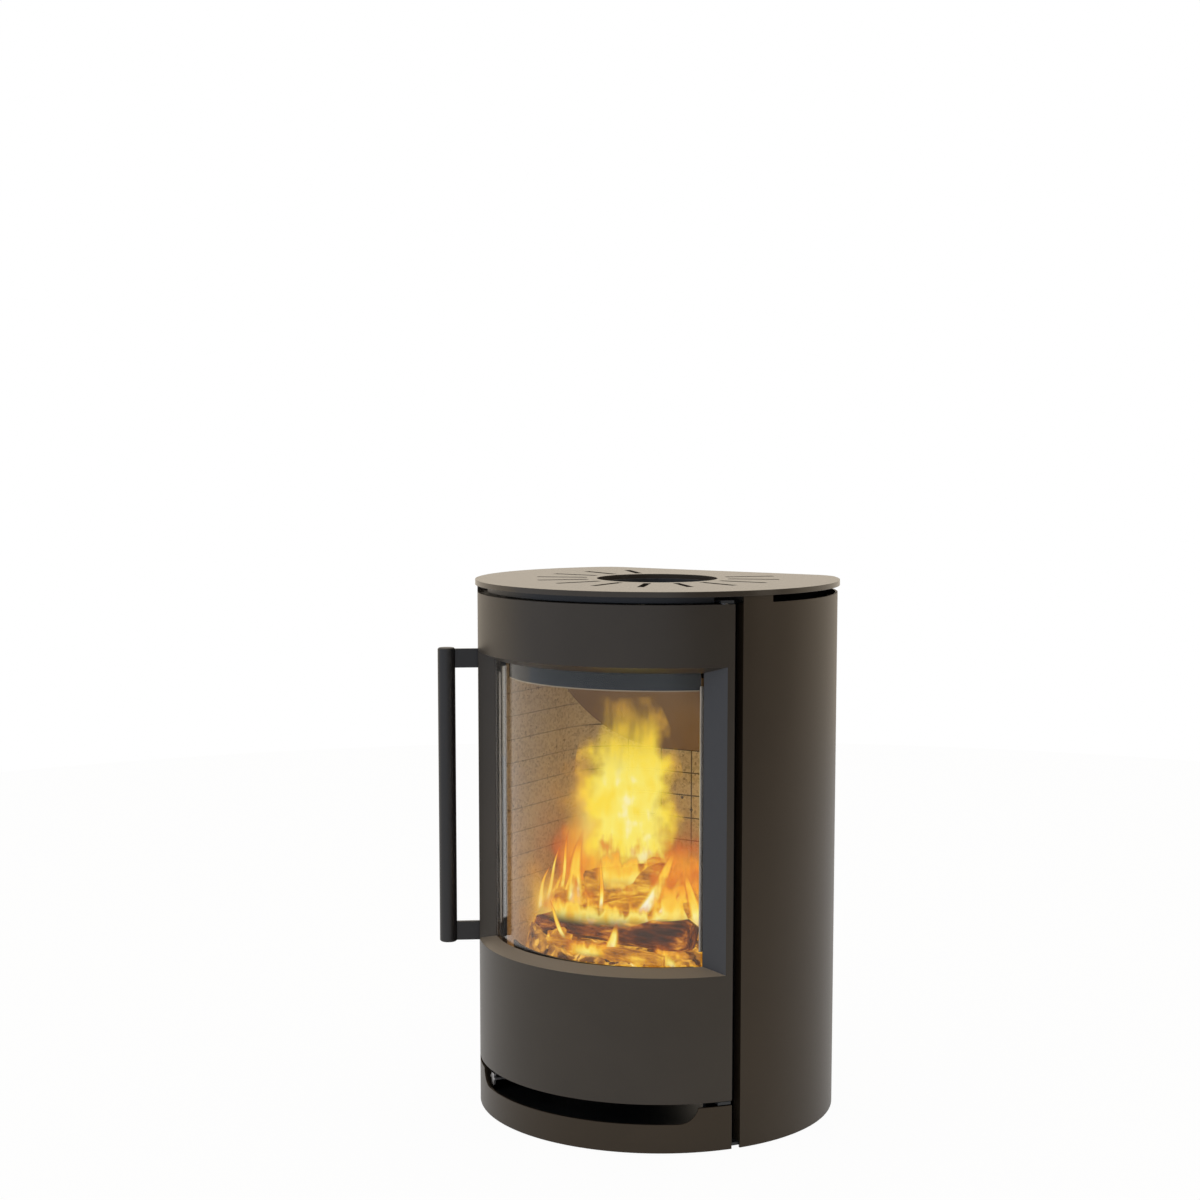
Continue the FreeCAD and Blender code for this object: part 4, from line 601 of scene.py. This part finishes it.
# Floor and light
def stage_floor():
    low = cad_box[0].z - 0.002
    turns = [2 * math.pi * i / 96 for i in range(96)]
    mesh = bpy.data.meshes.new("floor")
    rim = [(FLOOR_RADIUS * math.cos(t), FLOOR_RADIUS * math.sin(t), low) for t in turns]
    mesh.from_pydata(rim, [], [tuple(range(len(rim)))])
    floor = bpy.data.objects.new("floor", mesh)
    scene.collection.objects.link(floor)
    mat, tree, shader = new_material("floor_pale")
    shader.inputs["Base Color"].default_value = (0.85, 0.85, 0.85, 1)
    shader.inputs["Roughness"].default_value = 0.9
    shader.inputs["Specular IOR Level"].default_value = 0.0
    white = node(tree, "ShaderNodeEmission", Strength=1.0)
    blend = tree.nodes.new("ShaderNodeMixShader")
    path = tree.nodes.new("ShaderNodeLightPath")
    seen = math_node(tree, "MAXIMUM", path.outputs["Is Camera Ray"], path.outputs["Is Transmission Ray"])
    seen = math_node(tree, "MAXIMUM", seen, math_node(tree, "MULTIPLY", path.outputs["Is Glossy Ray"], 0.6))
    link(tree, math_node(tree, "MULTIPLY", seen, 0.96), blend.inputs[0])
    link(tree, shader.outputs[0], blend.inputs[1])
    link(tree, white.outputs[0], blend.inputs[2])
    link(tree, blend.outputs[0], tree.nodes["Material Output"].inputs["Surface"])
    mesh.materials.append(mat)


def world_light():
    """A studio that is warm and bright to the left and behind, cool in front and dark to the right."""
    world = bpy.data.worlds.new("studio")
    scene.world = world
    world.use_nodes = True
    tree = world.node_tree
    background = tree.nodes["Background"]
    x, y, z = split(tree, tree.nodes.new("ShaderNodeTexCoord").outputs["Generated"])
    turn = math_node(tree, "ARCTAN2", x, math_node(tree, "MULTIPLY", y, -1.0))
    share = math_node(tree, "ADD", math_node(tree, "DIVIDE", turn, 2 * math.pi), 0.5)
    warm, cool, dim = (0.95, 0.84, 0.69), (0.58, 0.64, 0.76), (0.065, 0.052, 0.038)
    walls = ramp(tree, share, ((0.0, warm), (0.30, warm), (0.31, cool), (0.60, cool), (0.65, dim),
                               (0.80, dim), (0.87, warm)))
    above = node(tree, "ShaderNodeMixRGB", Color2=(0.92, 0.86, 0.78, 1))
    link(tree, smooth(tree, z, 0.35, 0.85), above.inputs["Fac"])
    link(tree, walls, above.inputs["Color1"])
    path = tree.nodes.new("ShaderNodeLightPath")
    seen = math_node(tree, "MAXIMUM", path.outputs["Is Camera Ray"], path.outputs["Is Transmission Ray"])
    pale = node(tree, "ShaderNodeMixRGB", Color2=(1, 1, 1, 1))
    link(tree, seen, pale.inputs["Fac"])
    link(tree, above.outputs["Color"], pale.inputs["Color1"])
    link(tree, pale.outputs["Color"], background.inputs["Color"])
    background.inputs["Strength"].default_value = 1.0


def area_light(name, place, target, size, power, colour=(1, 1, 1)):
    data = bpy.data.lights.new(name, "AREA")
    data.shape = "RECTANGLE"
    data.size, data.size_y = size
    data.energy = power
    data.color = colour
    lamp = bpy.data.objects.new(name, data)
    lamp.location = place
    lamp.rotation_euler = (Vector(target) - Vector(place)).to_track_quat("-Z", "Y").to_euler()
    scene.collection.objects.link(lamp)


def photo_camera():
    """The photograph's viewpoint: turned to the right of the door and a little above."""
    turn, tilt, pan = math.radians(30.0), math.radians(6.30), math.radians(-1.57)
    side = Vector((math.cos(turn), math.sin(turn), 0))
    ahead = Vector((-math.sin(turn), math.cos(turn), 0))
    look = (side * math.sin(pan) + ahead * math.cos(pan)) * math.cos(tilt) - Vector((0, 0, math.sin(tilt)))
    data = bpy.data.cameras.new("camera")
    data.sensor_width = 36.0
    data.lens = 62.61
    data.shift_y = 0.05
    camera = bpy.data.objects.new("camera", data)
    camera.location = (1.4335, -2.683, 0.448)
    camera.rotation_euler = look.to_track_quat("-Z", "Y").to_euler()
    scene.collection.objects.link(camera)
    scene.camera = camera


stage_floor()
world_light()
middle = (0, AXIS_Y, -0.1)
area_light("key", (-1.6, -2.6, 1.9), middle, (1.6, 1.6), 11.0)
area_light("side", (2.55, 0.15, 0.9), middle, (0.8, 1.8), 7.0, (1.0, 0.95, 0.88))
photo_camera()
